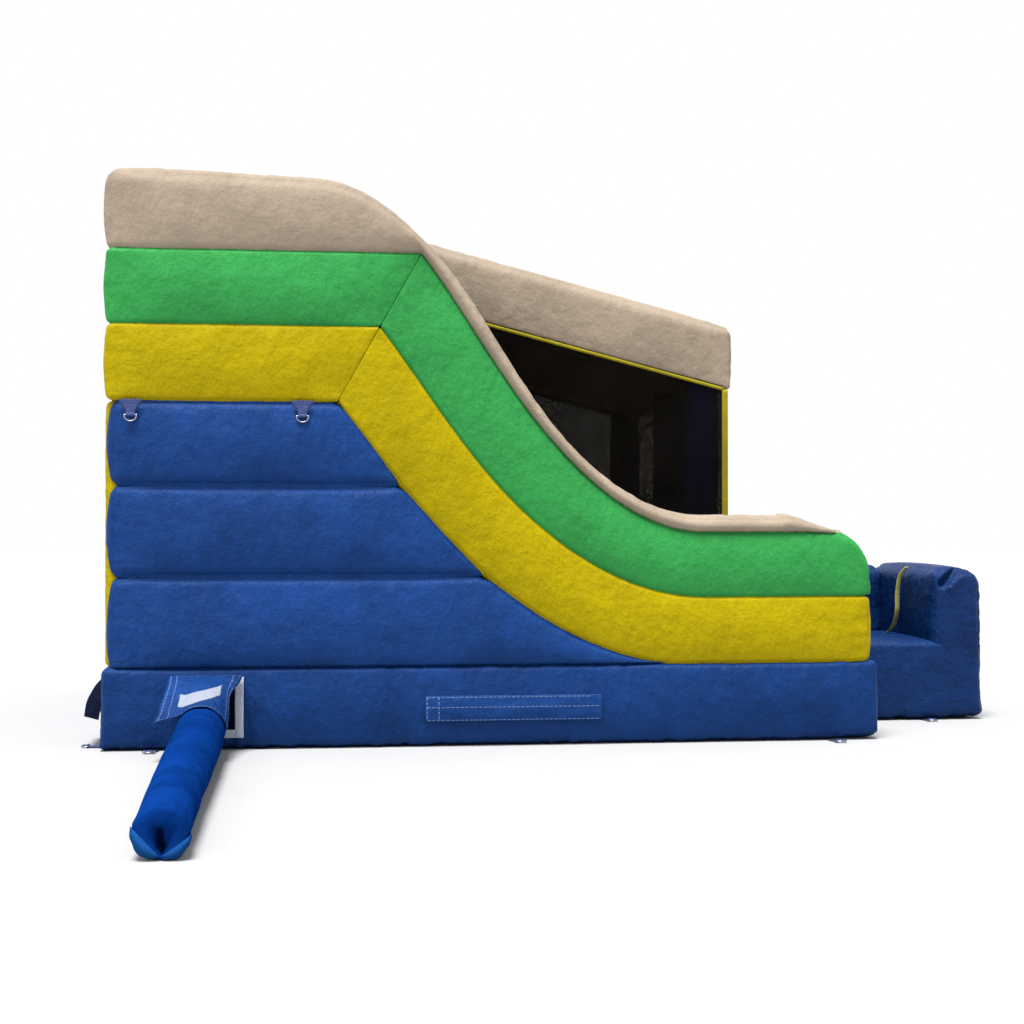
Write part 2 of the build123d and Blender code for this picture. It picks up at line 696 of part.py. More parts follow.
# Port on the base course: hook-and-loop border, cover flap and a blank patch on the flap
PORT_S = (465, 995)
PORT_Z = (90, 535)
PORT_BORDER = 70
PORT_ROOM = 12  # clearance between the border and the sleeve
FACE_N = -BASE_OUT  # outer face of the base course
with BuildPart() as port_border:
    block(PORT_S, (FACE_N - TRIM_T, FACE_N), PORT_Z)
    block(
        (PORT_S[0] + PORT_BORDER, PORT_S[1] - PORT_BORDER),
        (FACE_N - 2 * TRIM_T, FACE_N + TRIM_T),
        (PORT_Z[0] - PORT_BORDER, PORT_Z[1] - PORT_BORDER),
        mode=Mode.SUBTRACT,
    )
    with Locations(at(SLEEVE_S, FACE_N, SLEEVE_RINGS[0][1])):
        Cylinder(SLEEVE_RINGS[0][2] + PORT_ROOM, 10 * TRIM_T, rotation=(90, 0, 0), mode=Mode.SUBTRACT)
save(port_border.part, "port_border")

FLAP_TILT = 14  # how far the flap hangs below level where it lies on the sleeve, degrees
FLAP_L = 500
FLAP_T = 8
HINGE_RISE = 15  # from the top of the port's border to the flap's seam
port_hinge = at(SLEEVE_S, FACE_N - TRIM_T - GAP, PORT_Z[1] + HINGE_RISE)
flap_plane = Plane(port_hinge, x_dir=(1, 0, 0), z_dir=(0, -sin(radians(FLAP_TILT)), cos(radians(FLAP_TILT))))
with BuildPart() as port_flap:
    with BuildSketch(flap_plane):
        with Locations((0, -FLAP_L / 2)):
            Rectangle(PORT_S[1] - PORT_S[0], FLAP_L)
    extrude(amount=FLAP_T)
save(port_flap.part, "port_flap")

PATCH_T = 2
PATCH_SIZE = (360, 200)
PATCH_DOWN = 275  # from the flap's seam to the middle of the patch
with BuildPart() as port_patch:
    with BuildSketch(flap_plane.offset(FLAP_T)):
        with Locations((0, -PATCH_DOWN)):
            Rectangle(*PATCH_SIZE)
    extrude(amount=PATCH_T)
save(port_patch.part, "port_patch")

# Second, tied-off sleeve at the rear under its own cover flap
REAR_PORT_N = 500
REAR_SLEEVE_RINGS = (
    # s, height of the middle, radius
    (-BASE_OUT, 150, 105),
    (-110, 142, 100),
    (-180, 132, 45),
)
with BuildPart() as rear_sleeve:
    for s, middle_z, radius in REAR_SLEEVE_RINGS:
        with BuildSketch(front_plane(s)):
            with Locations((REAR_PORT_N, middle_z)):
                Circle(radius)
    loft()
save(rear_sleeve.part, "rear_sleeve")

REAR_FLAP_W = 500
REAR_FLAP_L = 340
REAR_FLAP_LIFT = 38  # how far the flap stands off the rear face, degrees
REAR_HINGE_Z = 530
rear_hinge = at(-BASE_OUT - GAP, REAR_PORT_N, REAR_HINGE_Z)
rear_flap_plane = Plane(
    rear_hinge,
    x_dir=(0, 1, 0),
    z_dir=(-cos(radians(REAR_FLAP_LIFT)), 0, sin(radians(REAR_FLAP_LIFT))),
)
with BuildPart() as rear_port_flap:
    with BuildSketch(rear_flap_plane):
        with Locations((0, REAR_FLAP_L / 2)):
            Rectangle(REAR_FLAP_W, REAR_FLAP_L)
    extrude(amount=FLAP_T)
save(rear_port_flap.part, "rear_port_flap")

# Deflation zipper under its cover flap, on the outer face of the base course
ZIP_S = (2380, 3590)
ZIP_Z = 285
ZIP_W = 60
TAPE_T = 3
with BuildPart() as zipper_tape:
    block(ZIP_S, (FACE_N - TAPE_T, FACE_N), (ZIP_Z - ZIP_W / 2, ZIP_Z + ZIP_W / 2))
save(zipper_tape.part, "zipper_tape")

SLIDER_L = 46
SLIDER_W = 26
SLIDER_T = 9
SLIDER_ROUND = 6
SLIDER_S0 = ZIP_S[0] + 40  # the slider's closed place, near the rear end
PULL_L = 34
PULL_W = 12
PULL_T = 3
slider_n1 = FACE_N - TAPE_T - 1
with BuildPart() as zipper_slider:
    block(
        (SLIDER_S0, SLIDER_S0 + SLIDER_L),
        (slider_n1 - SLIDER_T, slider_n1),
        (ZIP_Z - SLIDER_W / 2, ZIP_Z + SLIDER_W / 2),
    )
    fillet(zipper_slider.edges().filter_by(Axis.Y), SLIDER_ROUND)
    block(
        (SLIDER_S0 + SLIDER_L - PULL_T, SLIDER_S0 + SLIDER_L + PULL_L),
        (slider_n1 - 2 * PULL_T, slider_n1 - PULL_T),
        (ZIP_Z - PULL_W / 2, ZIP_Z + PULL_W / 2),
    )
save(zipper_slider.part, "zipper_slider")

COVER_S = (2320, 3650)
COVER_Z = (190, 380)
COVER_T = 5
COVER_N = slider_n1 - SLIDER_T - COVER_T
with BuildPart() as zipper_cover:
    block(COVER_S, (COVER_N - COVER_T, COVER_N), COVER_Z)
save(zipper_cover.part, "zipper_cover")

# Anchor tabs, each a webbing plate with a loop round the straight bar of a D-ring
PLATE_T = 6
BAR_LIFT = LOOP_R  # height of the ring's bar above the surface the tab lies on
WALL_STAND_OFF = 9  # the upper tabs hang clear of the wall's swell
RING_Z = DECK_Z - 20  # root of the upper tabs
FLOOR_GAP = 1  # the ground tabs lie just above the ground
UPPER_TAB = (95, 160)  # length and width at the root
GROUND_TAB = (95, 120)
LONG_TAB = (130, 120)
TIP_W = 2 * RING_R - 18  # width of a tab at its ring
TABS = {
    # name: (place of the root, direction of the bar, outward normal of the tab, tab size)
    "near_upper_rear": ((180, -WALL_STAND_OFF, RING_Z), (-1, 0, 0), (0, -1, 0), UPPER_TAB),
    "near_upper_front": ((1420, -WALL_STAND_OFF, RING_Z), (-1, 0, 0), (0, -1, 0), UPPER_TAB),
    "near_ground_rear": ((330, FACE_N, FLOOR_GAP), (-1, 0, 0), (0, 0, 1), GROUND_TAB),
    "near_ground_front": ((5460, FACE_N, FLOOR_GAP), (-1, 0, 0), (0, 0, 1), GROUND_TAB),
    "rear_ground_near": ((-BASE_OUT, 260, FLOOR_GAP), (0, 1, 0), (0, 0, 1), LONG_TAB),
    "far_ground_rear": ((330, FAR_N + BASE_OUT, FLOOR_GAP), (1, 0, 0), (0, 0, 1), GROUND_TAB),
    "far_ground_front": ((4600, FAR_N + BASE_OUT, FLOOR_GAP), (1, 0, 0), (0, 0, 1), GROUND_TAB),
    "step_ground": ((6650, INNER_N0, FLOOR_GAP), (-1, 0, 0), (0, 0, 1), GROUND_TAB),
}


def tab_plane(place, bar, normal):
    """Plane of a tab: x along the ring's bar, y from the root to the ring, z away from the surface."""
    return Plane(at(*place), x_dir=bar, z_dir=normal)


def tabs(group):
    """The webbing plates and loops of the tabs whose names contain group."""
    for name, (place, bar, normal, (length, root_w)) in TABS.items():
        if group not in name:
            continue
        plane = tab_plane(place, bar, normal)
        with BuildSketch(plane) as plate:
            with BuildLine():
                Polyline(
                    (-root_w / 2, 0),
                    (root_w / 2, 0),
                    (TIP_W / 2, length),
                    (-TIP_W / 2, length),
                    close=True,
                )
            make_face()
        extrude(plate.sketch, amount=PLATE_T)
        loop_plane = Plane(plane.from_local_coords((-TIP_W / 2, length, BAR_LIFT)), x_dir=normal, z_dir=bar)
        with BuildSketch(loop_plane) as loop:
            Circle(LOOP_R)
        extrude(loop.sketch, amount=TIP_W)
        with BuildSketch(loop_plane) as hole:
            Circle(LOOP_HOLE_R)
        extrude(hole.sketch, amount=TIP_W, mode=Mode.SUBTRACT)


with BuildPart() as upper_anchor_tabs:
    tabs("upper")
save(upper_anchor_tabs.part, "upper_anchor_tabs")

with BuildPart() as ground_anchor_tabs:
    tabs("ground")
save(ground_anchor_tabs.part, "ground_anchor_tabs")

for name, (place, bar, normal, (length, root_w)) in TABS.items():
    tab = tab_plane(place, bar, normal)
    centre = tab.from_local_coords((0, length, BAR_LIFT))
    with BuildPart() as ring:
        with BuildSketch(Plane(centre, x_dir=bar, z_dir=-tab.y_dir)):
            with Locations((RING_R, 0)):
                Circle(WIRE_R)
        revolve(axis=Axis(centre, normal), revolution_arc=180)
        with BuildSketch(Plane(centre, x_dir=normal, z_dir=bar)):
            Circle(WIRE_R)
        extrude(amount=RING_R, both=True)
        with Locations(centre - tab.x_dir * RING_R, centre + tab.x_dir * RING_R):
            Sphere(WIRE_R)
    save(ring.part, f"d_ring_{name}")
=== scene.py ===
"""Looks of the inflatable bounce house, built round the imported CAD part.

As in the CAD source, places are (s, n, z): s from the rear face towards the entrance, n from the outer
face of the slide wall towards the house, z up, in metres.
"""

import math
from itertools import product

import bmesh
import bpy
import numpy as np
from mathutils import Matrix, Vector
from mathutils.bvhtree import BVHTree


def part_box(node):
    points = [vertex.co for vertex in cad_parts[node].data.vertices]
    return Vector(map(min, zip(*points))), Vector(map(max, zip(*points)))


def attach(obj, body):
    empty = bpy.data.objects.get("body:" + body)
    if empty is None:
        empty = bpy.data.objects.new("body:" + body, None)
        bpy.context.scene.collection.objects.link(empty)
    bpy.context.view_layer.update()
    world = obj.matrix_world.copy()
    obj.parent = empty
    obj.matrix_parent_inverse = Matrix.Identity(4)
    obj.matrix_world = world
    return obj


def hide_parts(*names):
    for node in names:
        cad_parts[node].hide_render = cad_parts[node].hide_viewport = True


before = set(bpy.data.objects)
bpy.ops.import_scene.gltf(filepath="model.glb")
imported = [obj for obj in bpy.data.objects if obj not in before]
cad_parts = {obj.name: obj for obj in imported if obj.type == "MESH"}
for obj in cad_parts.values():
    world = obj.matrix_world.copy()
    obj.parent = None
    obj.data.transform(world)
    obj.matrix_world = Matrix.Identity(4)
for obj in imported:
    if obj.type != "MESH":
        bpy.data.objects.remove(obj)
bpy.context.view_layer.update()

ROOT = "inflatable"

# ---------------------------------------------------------------- measures taken from the frame
MIDDLE = np.array([2.9, 2.44, 0.0])  # the part's origin in (s, n, z)


def limits(node):
    """The node's limits along s, n and z."""
    low, high = (np.array(v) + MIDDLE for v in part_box(node))
    return tuple(zip(low, high))


LENGTH = limits("outer_wall_yellow_band")[0][1]
WALL_T = limits("outer_wall_yellow_band")[1][1]
INNER_N0, INNER_N1 = limits("inner_wall_blue_panel")[1]
(_, HOUSE_L), (_, FAR_N), (_, ROOF_REAR_Z) = limits("far_roof_beam")
BASE_OUT = -limits("slide_base")[0][0]
BASE_H = limits("slide_base")[2][1]
DECK_Z = limits("outer_wall_blue_panel")[2][1]
YELLOW_Z = limits("outer_wall_yellow_band")[2][1]
GREEN_Z = limits("outer_wall_green_band")[2][1]
CAP_Z = limits("outer_wall_tan_cap")[2][1]
BEAM_H = 0.53
ROOF_BEND_S = 1.08
ROOF_SLOPE = 0.98 / 3.82

FALL = (0.6, -0.8)
DECK_SEAM = ((1.68, DECK_Z), (2.88, 1.19), (4.30, BASE_H))
YELLOW_SEAM = ((1.99, YELLOW_Z), (3.08, 1.73), (4.45, 1.10))
GREEN_SEAM = ((2.30, GREEN_Z), (3.28, 2.28), (4.45, 1.59))
CAP_SHOULDER = (1.55, CAP_Z - 0.06)
CAP_SEAM = ((2.23, 3.85), (3.36, 2.31), (4.45, 1.69))
BAND_END = LENGTH - 0.050  # the bands swell forward from here
NOSE_R = 0.34  # how far the green nose rounds over
NOSE_S, NOSE_Z = BAND_END - NOSE_R, GREEN_SEAM[2][1] - NOSE_R


def roof_z(s):
    """Height of the roof's top at s."""
    return ROOF_REAR_Z - np.maximum(0, np.asarray(s, float) - ROOF_BEND_S) * ROOF_SLOPE


def beam_foot(s, over=0.0):
    """The height of the beams' undersides at s, and so much over it."""
    return roof_z(s) - BEAM_H + over


# ---------------------------------------------------------------- curves
def spline(points, first, last, count=80):
    """A smooth curve through points, leaving along first and arriving along last."""
    p = np.array(points, float)
    h = np.linalg.norm(np.diff(p, axis=0), axis=1)
    m = np.zeros_like(p)
    m[0] = np.array(first) / np.linalg.norm(first)
    m[-1] = np.array(last) / np.linalg.norm(last)
    n = len(p)
    if n > 2:
        a = np.zeros((n - 2, n - 2))
        b = np.zeros((n - 2, 2))
        for i in range(1, n - 1):
            b[i - 1] = 3 * ((p[i] - p[i - 1]) / h[i - 1] ** 2 + (p[i + 1] - p[i]) / h[i] ** 2)
            a[i - 1, i - 1] = 2 * (1 / h[i - 1] + 1 / h[i])
            if i > 1:
                a[i - 1, i - 2] = 1 / h[i - 1]
            else:
                b[i - 1] -= m[0] / h[0]
            if i < n - 2:
                a[i - 1, i] = 1 / h[i]
            else:
                b[i - 1] -= m[-1] / h[-1]
        m[1:-1] = np.linalg.solve(a, b)
    made = []
    for i in range(n - 1):
        t = np.linspace(0, 1, count)[:, None]
        made.append(
            (2 * t**3 - 3 * t**2 + 1) * p[i]
            + (t**3 - 2 * t**2 + t) * h[i] * m[i]
            + (3 * t**2 - 2 * t**3) * p[i + 1]
            + (t**3 - t**2) * h[i] * m[i + 1]
        )
    return np.concatenate(made)


def line(*points, count=40):
    """Straight runs between points, finely divided."""
    p = np.array(points, float)
    t = np.linspace(0, 1, count)[:, None]
    return np.concatenate([a + (b - a) * t for a, b in zip(p[:-1], p[1:])])


def arc(centre, radius, start, end, count=40):
    """Part of a circle, between two angles in degrees."""
    a = np.radians(np.linspace(start, end, count))
    return np.array(centre) + radius * np.stack([np.cos(a), np.sin(a)], -1)


def lengths(curve):
    """The length along the curve at each of its points."""
    return np.concatenate([[0], np.cumsum(np.linalg.norm(np.diff(curve, axis=0), axis=1))])


def at_lengths(curve, t):
    """Points of the curve at lengths t along it."""
    d = lengths(curve)
    return np.stack([np.interp(t, d, curve[:, k]) for k in range(curve.shape[1])], -1)


def even(curve, count):
    """The curve sampled at even steps of its length."""
    return at_lengths(curve, np.linspace(0, lengths(curve)[-1], count))


def matched(*pairs, count=60):
    """Two long edges from pairs of curves that face each other."""
    low = np.concatenate([even(a, count) for a, _ in pairs])
    high = np.concatenate([even(b, count) for _, b in pairs])
    moved = sum(np.linalg.norm(np.diff(edge, axis=0), axis=1) for edge in (low, high))
    keep = np.concatenate([[True], moved > 1e-6])
    return low[keep], high[keep]


# ---------------------------------------------------------------- meshes
def noise(p, size, seed=0):
    """Smooth noise from -1 to 1 at points p, with features of about the given size along each axis."""
    q = np.asarray(p, float) / np.asarray(size, float)
    whole = np.floor(q).astype(np.int64)
    f = q - whole
    f = f * f * (3 - 2 * f)
    total = 0.0
    for corner in product((0, 1), repeat=q.shape[-1]):
        h = np.full(q.shape[:-1], seed * 7919 + 17, np.int64)
        weight = 1.0
        for k, c in enumerate(corner):
            h = (h ^ ((whole[..., k] + c) * (73856093, 19349663, 83492791)[k])) & 0xFFFFFFFF
            h = (h * 1274126177 + 12345) & 0xFFFFFFFF
            h = h ^ (h >> 15)
            weight = weight * (f[..., k] if c else 1 - f[..., k])
        total = total + weight * ((h & 0xFFFF) / 32767.5 - 1)
    return total


def stations(length, r0, r1, step):
    """Places from 0 to length, four across each rounded end and about one a step between."""
    r0, r1 = min(r0, length * 0.45), min(r1, length * 0.45)
    count = max(2, int(math.ceil((length - r0 - r1) / step)) + 1)
    ends = np.linspace(0, r0, 5), np.linspace(length - r1, length, 5)
    return np.unique(np.concatenate([*ends, np.linspace(r0, length - r1, count)]).round(7))


def box_quads(nu, nv, nw):
    """Quads over the six faces of a box of samples, and the samples that they use."""

    def key(i, j, k):
        return (i * nv + j) * nw + k

    quads = []

    def add(na, nb, corner):
        a, b = np.meshgrid(np.arange(na - 1), np.arange(nb - 1), indexing="ij")
        a, b = a.ravel(), b.ravel()
        corners = corner(a, b), corner(a + 1, b), corner(a + 1, b + 1), corner(a, b + 1)
        quads.append(np.stack(corners, -1))

    add(nv, nu, lambda j, i: key(i, j, 0))
    add(nu, nv, lambda i, j: key(i, j, nw - 1))
    add(nu, nw, lambda i, k: key(i, 0, k))
    add(nw, nu, lambda k, i: key(i, nv - 1, k))
    add(nw, nv, lambda k, j: key(0, j, k))
    add(nv, nw, lambda j, k: key(nu - 1, j, k))
    quads = np.concatenate(quads)
    used, quads = np.unique(quads, return_inverse=True)
    return used, quads.reshape(-1, 4)


def rise(d, length, reach):
    """0 at either end of a length, rising smoothly to 1 over reach."""
    r = np.minimum(length / 2, reach)
    return 1 - (1 - np.clip(np.minimum(d, length - d) / r, 0, 1)) ** 2


# which of s, n and z a pillow's face and its depth run along
SIDE, CROSS, FLAT = (0, 2, 1), (1, 2, 0), (0, 1, 2)
SEAM = (0.085, 0.050)  # width and depth of the rounding beside a sewn seam
FINE_SEAM = (0.034, 0.020)
ROUND = (0.090, 0.090)
SOFT = (0.060, 0.060)
TIGHT = (0.035, 0.035)
SWELL_REACH = 0.6  # how far from a seam a chamber goes on swelling


def pillow(lower, upper, depth, radii, swell=0.024, step=0.03, pucker=0.0035, gather=(0, 0), seed=1,
           axes=SIDE, warp=None):
    """An air chamber between two long edges and two depths, swollen between its seams and puckered at them.
    radii are its rounding (in the plane, in depth) at the start, the end, the lower and the upper edge."""
    lower, upper = np.array(lower, float), np.array(upper, float)
    mid = (lower + upper) / 2
    along = lengths(mid)
    total = along[-1]
    height = np.linalg.norm(upper - lower, axis=1)
    d0, d1 = depth
    thick = d1 - d0
    (ru0, gu0), (ru1, gu1), (rv0, gv0), (rv1, gv1) = radii
    us = stations(total, ru0, ru1, step)
    tall = float(np.mean(height))
    vs = stations(tall, rv0, rv1, step) / tall
    deepest = max(gu0, gu1, gv0, gv1)
    ws = stations(thick, deepest, deepest, max(step, 0.06))
    used, quads = box_quads(len(us), len(vs), len(ws))
    i, j, k = used // (len(vs) * len(ws)), used // len(ws) % len(vs), used % len(ws)
    x, d = us[i], ws[k]
    h = np.maximum(np.interp(x, along, height), 1e-4)
    y = vs[j] * h
    edge = np.stack([x, total - x, y, h - y])
    weight = 1 / (edge + 0.02) ** 2
    g = (weight * np.array([gu0, gu1, gv0, gv1])[:, None]).sum(0) / weight.sum(0)
    g = np.minimum(g, thick * 0.45)
    e, core, radius = [], [], []
    for value, size, r0, r1 in ((x, total, ru0, ru1), (y, h, rv0, rv1), (d, thick, g, g)):
        r0, r1 = np.minimum(r0, size * 0.45), np.minimum(r1, size * 0.45)
        c = np.clip(value, r0, size - r1)
        r = np.where(value < size / 2, r0, r1)
        e.append((value - c) / r)
        core.append(c)
        radius.append(r)
    e, core, radius = (np.stack(a) for a in (e, core, radius))
    e = e / np.maximum(np.linalg.norm(e, axis=0), 1e-9)
    out = e / radius
    out = out / np.maximum(np.linalg.norm(out, axis=0), 1e-9)
    place = core + radius * e
    fx, fy, fd = rise(x, total, SWELL_REACH), rise(y, h, SWELL_REACH), rise(d, thick, SWELL_REACH)
    on_w = (k == 0) | (k == len(ws) - 1)
    on_v = (j == 0) | (j == len(vs) - 1)
    amount = swell * np.where(on_w, fx * fy, np.where(on_v, fx * fd, fy * fd))

    def beside(near, run, seed):
        """Puckers at right angles to a seam: near is the distance from it and run the place along it."""
        lift = np.clip(near / 0.02, 0, 1) * np.exp(-near / 0.13)
        fold = np.abs(noise(np.stack([run, near], -1), (0.075, 0.45), seed))
        fine = noise(np.stack([run, near], -1), (0.032, 0.2), seed + 5)
        return lift * (fold * 1.6 - 0.5 + 0.25 * fine)

    if pucker:
        folds = np.where(
            on_w,
            beside(y, x, seed) + beside(h - y, x, seed + 1)
            + beside(x, y, seed + 2) + beside(total - x, y, seed + 3),
            np.where(on_v, beside(d, x, seed + 4) + beside(thick - d, x, seed + 6), beside(d, y, seed + 7)),
        )
        calm = np.clip(np.minimum(y, h - y) / 0.03, 0, 1)  # no puckers in the seam itself
        amount = amount + pucker * folds * np.where(on_w, calm, 1)
        spot = np.stack([x, y, d], -1)
        amount = amount + 0.0025 * noise(spot, (0.42, 0.30, 0.4), seed + 9) * np.where(on_w, fx * fy, 1)
    for near, size, salt in ((y, gather[0], 31), (h - y, gather[1], 37)):
        if size:
            streak = noise(np.stack([x, near], -1), (0.055, 0.5), seed + salt)
            patchy = noise(np.stack([x, near], -1), (0.35, 1.0), seed + salt + 1)
            amount = amount + size * np.exp(-near / 0.10) * streak * np.clip(0.55 + 0.9 * patchy, 0.1, 1.3)
    place = place + amount * out
    px, py, pd = place
    v = (py / h)[:, None]
    clipped = np.clip(px, 0, total)
    a, b = (np.stack([np.interp(clipped, along, c[:, k]) for k in (0, 1)], -1) for c in (lower, upper))
    flat = (1 - v) * a + v * b
    start, end = mid[1] - mid[0], mid[-1] - mid[-2]
    flat += np.minimum(px, 0)[:, None] * start / np.linalg.norm(start)
    flat += np.maximum(px - total, 0)[:, None] * end / np.linalg.norm(end)
    points = np.zeros((len(px), 3))
    points[:, axes[0]], points[:, axes[1]], points[:, axes[2]] = flat[:, 0], flat[:, 1], d0 + pd
    if warp is not None:
        points = warp(points)
    return points, quads


def box_pillow(a, b, depth, radii, **rest):
    """A pillow with a rectangular outline, a by b."""
    return pillow(line((a[0], b[0]), (a[1], b[0])), line((a[0], b[1]), (a[1], b[1])), depth, radii, **rest)


def joined(*parts):
    """Several meshes as one."""
    points, quads, base = [], [], 0
    for p, q in parts:
        points.append(p)
        quads.append(q + base)
        base += len(p)
    return np.concatenate(points), np.concatenate(quads)


def row(edges, span, depth, radii, seed, **rest):
    """Pillows side by side, one between each two neighbouring edges."""
    pairs = enumerate(zip(edges[:-1], edges[1:]))
    return joined(*(box_pillow(pair, span, depth, radii, seed=seed + i, **rest) for i, pair in pairs))


def piece(name, made, material, body=ROOT, replaces=(), closed=True):
    """A mesh object from points in (s, n, z) and quads, riding on a body."""
    points, quads = made
    xyz = points - MIDDLE
    mesh = bpy.data.meshes.new(name)
    faces = quads if isinstance(quads, list) else quads.tolist()
    mesh.from_pydata(xyz.tolist(), [], faces)
    mesh.validate()
    mesh.polygons.foreach_set("use_smooth", [True] * len(mesh.polygons))
    obj = bpy.data.objects.new(name, mesh)
    bpy.context.scene.collection.objects.link(obj)
    if closed:
        outward(mesh)
    mesh.materials.append(material)
    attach(obj, body)
    if replaces:
        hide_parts(*replaces)
    return obj


def outward(mesh):
    """Turns the faces of closed shells so that they look outwards."""
    b = bmesh.new()
    b.from_mesh(mesh)
    bmesh.ops.recalc_face_normals(b, faces=b.faces)
    b.to_mesh(mesh)
    b.free()


def grid_sheet(points):
    """Quads over a grid of points, as (points, quads)."""
    nu, nv = points.shape[:2]
    i, j = np.meshgrid(np.arange(nu - 1), np.arange(nv - 1), indexing="ij")
    i, j = i.ravel(), j.ravel()
    quads = np.stack([i * nv + j, (i + 1) * nv + j, (i + 1) * nv + j + 1, i * nv + j + 1], -1)
    return points.reshape(-1, 3), quads


def thick_sheet(points, normal, thickness):
    """A closed slab from a grid of points, thickened along normal (one vector, or one for each point)."""
    nu, nv = points.shape[:2]
    n = np.broadcast_to(np.asarray(normal, float), points.shape)
    n = n / np.linalg.norm(n, axis=-1, keepdims=True)
    layers = np.stack([points, points + n * thickness], 2).reshape(-1, 3)
    used, quads = box_quads(nu, nv, 2)
    return layers[used], quads


def ribbon(path, across, width, thickness, crown=0.0):
    """A strap or trim along path (N, 3): across is its width direction at each point."""
    path = np.array(path, float)
    across = np.broadcast_to(np.asarray(across, float), path.shape)
    across = across / np.linalg.norm(across, axis=1, keepdims=True)
    tangent = np.gradient(path, axis=0)
    normal = np.cross(tangent, across)
    normal = normal / np.maximum(np.linalg.norm(normal, axis=1, keepdims=True), 1e-9)
    t = np.linspace(-1, 1, 7)
    half = np.broadcast_to(np.asarray(width, float) / 2, len(path))
    grid = path[:, None] + across[:, None] * (t[None, :] * half[:, None])[..., None]
    edge = np.maximum((1 - t**4)[None, :, None], 0.25)
    top = grid + normal[:, None] * (thickness / 2 + crown * (1 - t**2))[None, :, None] * edge
    bottom = grid - normal[:, None] * thickness / 2 * edge
    layers = np.stack([bottom, top], 2).reshape(-1, 3)
    used, quads = box_quads(len(path), len(t), 2)
    return layers[used], quads


def ring_faces(rings, sides):
    """Quads between neighbouring rings of points."""
    faces = []
    for low in range(0, (rings - 1) * sides, sides):
        for j in range(sides):
            k = (j + 1) % sides
            faces.append([low + j, low + k, low + sides + k, low + sides + j])
    return faces


def tube(path, radius, sides):
    """A round bar along path (N, 3), closed at both ends."""
    path = np.array(path, float)
    tangent = np.gradient(path, axis=0)
    tangent /= np.linalg.norm(tangent, axis=1, keepdims=True)
    radius = np.broadcast_to(np.asarray(radius, float), len(path))
    side = np.cross(tangent[0], (0.13, 0.27, 0.95))
    side /= np.linalg.norm(side)
    rings = []
    a = np.linspace(0, 2 * np.pi, sides, endpoint=False)
    for p, t, r in zip(path, tangent, radius):
        side = side - t * (side @ t)
        side /= np.linalg.norm(side)
        up = np.cross(t, side)
        rings.append(p + r * (np.cos(a)[:, None] * side + np.sin(a)[:, None] * up))
    points = np.concatenate(rings + [path[:1], path[-1:]])
    n = len(path)
    faces = ring_faces(n, sides)
    for j in range(sides):
        k = (j + 1) % sides
        faces.append([n * sides, k, j])
        faces.append([n * sides + 1, (n - 1) * sides + j, (n - 1) * sides + k])
    return points, faces


def joined_lists(parts):
    """As joined, for faces that are lists and may have any number of corners."""
    points, faces, base = [], [], 0
    for p, q in parts:
        points.append(p)
        faces += [[v + base for v in f] for f in q]
        base += len(p)
    return np.concatenate(points), faces


# ---------------------------------------------------------------- materials
class Look:
    """A material, with short ways to add nodes to it."""

    def __init__(self, name):
        self.made = bpy.data.materials.new(name)
        self.made.use_nodes = True
        tree = self.made.node_tree
        self.nodes, self.links = tree.nodes, tree.links
        self.shader = self.nodes["Principled BSDF"]
        self.coords = self.nodes.new("ShaderNodeTexCoord").outputs["Object"]

    def fill(self, node, output, **inputs):
        """Sets a node's inputs to numbers, colours, vectors or other nodes' outputs, and gives its output."""
        for name, value in inputs.items():
            socket = node.inputs[name.replace("_", " ")]
            if isinstance(value, (int, float)):
                socket.default_value = value
            elif isinstance(value, tuple):
                socket.default_value = value if socket.type == "VECTOR" else (*value, 1)
            else:
                self.links.new(value, socket)
        return node.outputs[output] if output else None

    def node(self, kind, output, **inputs):
        return self.fill(self.nodes.new(f"ShaderNode{kind}"), output, **inputs)

    def surface(self, **inputs):
        self.fill(self.shader, None, **inputs)

    def noise(self, scale, detail, roughness=0.55, stretch=None):
        coords = self.node("Mapping", "Vector", Scale=stretch, Vector=self.coords) if stretch else self.coords
        return self.node("TexNoise", "Fac", Scale=scale, Detail=detail, Roughness=roughness, Vector=coords)

    def range(self, value, low, high, to_low=0.0, to_high=1.0):
        ends = {"From_Min": low, "From_Max": high, "To_Min": to_low, "To_Max": to_high}
        return self.node("MapRange", "Result", **ends, Value=value)

    def math(self, operation, a, b=0.0):
        m = self.nodes.new("ShaderNodeMath")
        m.operation = operation
        for socket, value in zip(m.inputs, (a, b)):
            if isinstance(value, (int, float)):
                socket.default_value = value
            else:
                self.links.new(value, socket)
        return m.outputs["Value"]

    def mix(self, factor, a, b):
        m = self.nodes.new("ShaderNodeMix")
        m.data_type = "RGBA"
        return self.fill(m, "Result", Factor=factor, A=a, B=b)

    def bump(self, height, distance, strength, **onto):
        return self.node("Bump", "Normal", Strength=strength, Distance=distance, Height=height, **onto)

    def axes(self):
        split = self.nodes.new("ShaderNodeSeparateXYZ")
        self.links.new(self.coords, split.inputs["Vector"])
        return [split.outputs[axis] for axis in ("X", "Y", "Z")]

    def weave(self, pitch):
        """Height of a plain weave that shows on faces of any direction."""
        total = None
        for axis in self.axes():
            wave = self.math("SINE", self.math("MULTIPLY", axis, 2 * math.pi / pitch))
            total = wave if total is None else self.math("ADD", total, wave)
        return total

    def grained(self, grain, low, dark, light):
        """Base colour that goes from dark to light with a grain's height, from low up."""
        self.surface(Base_Color=self.mix(self.range(grain, low, 1 - low), dark, light))


def shade(rgb, factor, lift=0.0):
    """An sRGB colour from 0 to 255 as a linear one, made lighter or darker."""
    c = np.array(rgb, float) / 255
    c = np.where(c <= 0.04045, c / 12.92, ((c + 0.055) / 1.055) ** 2.4)
    return tuple(min(1.0, v * factor + lift) for v in c.tolist())


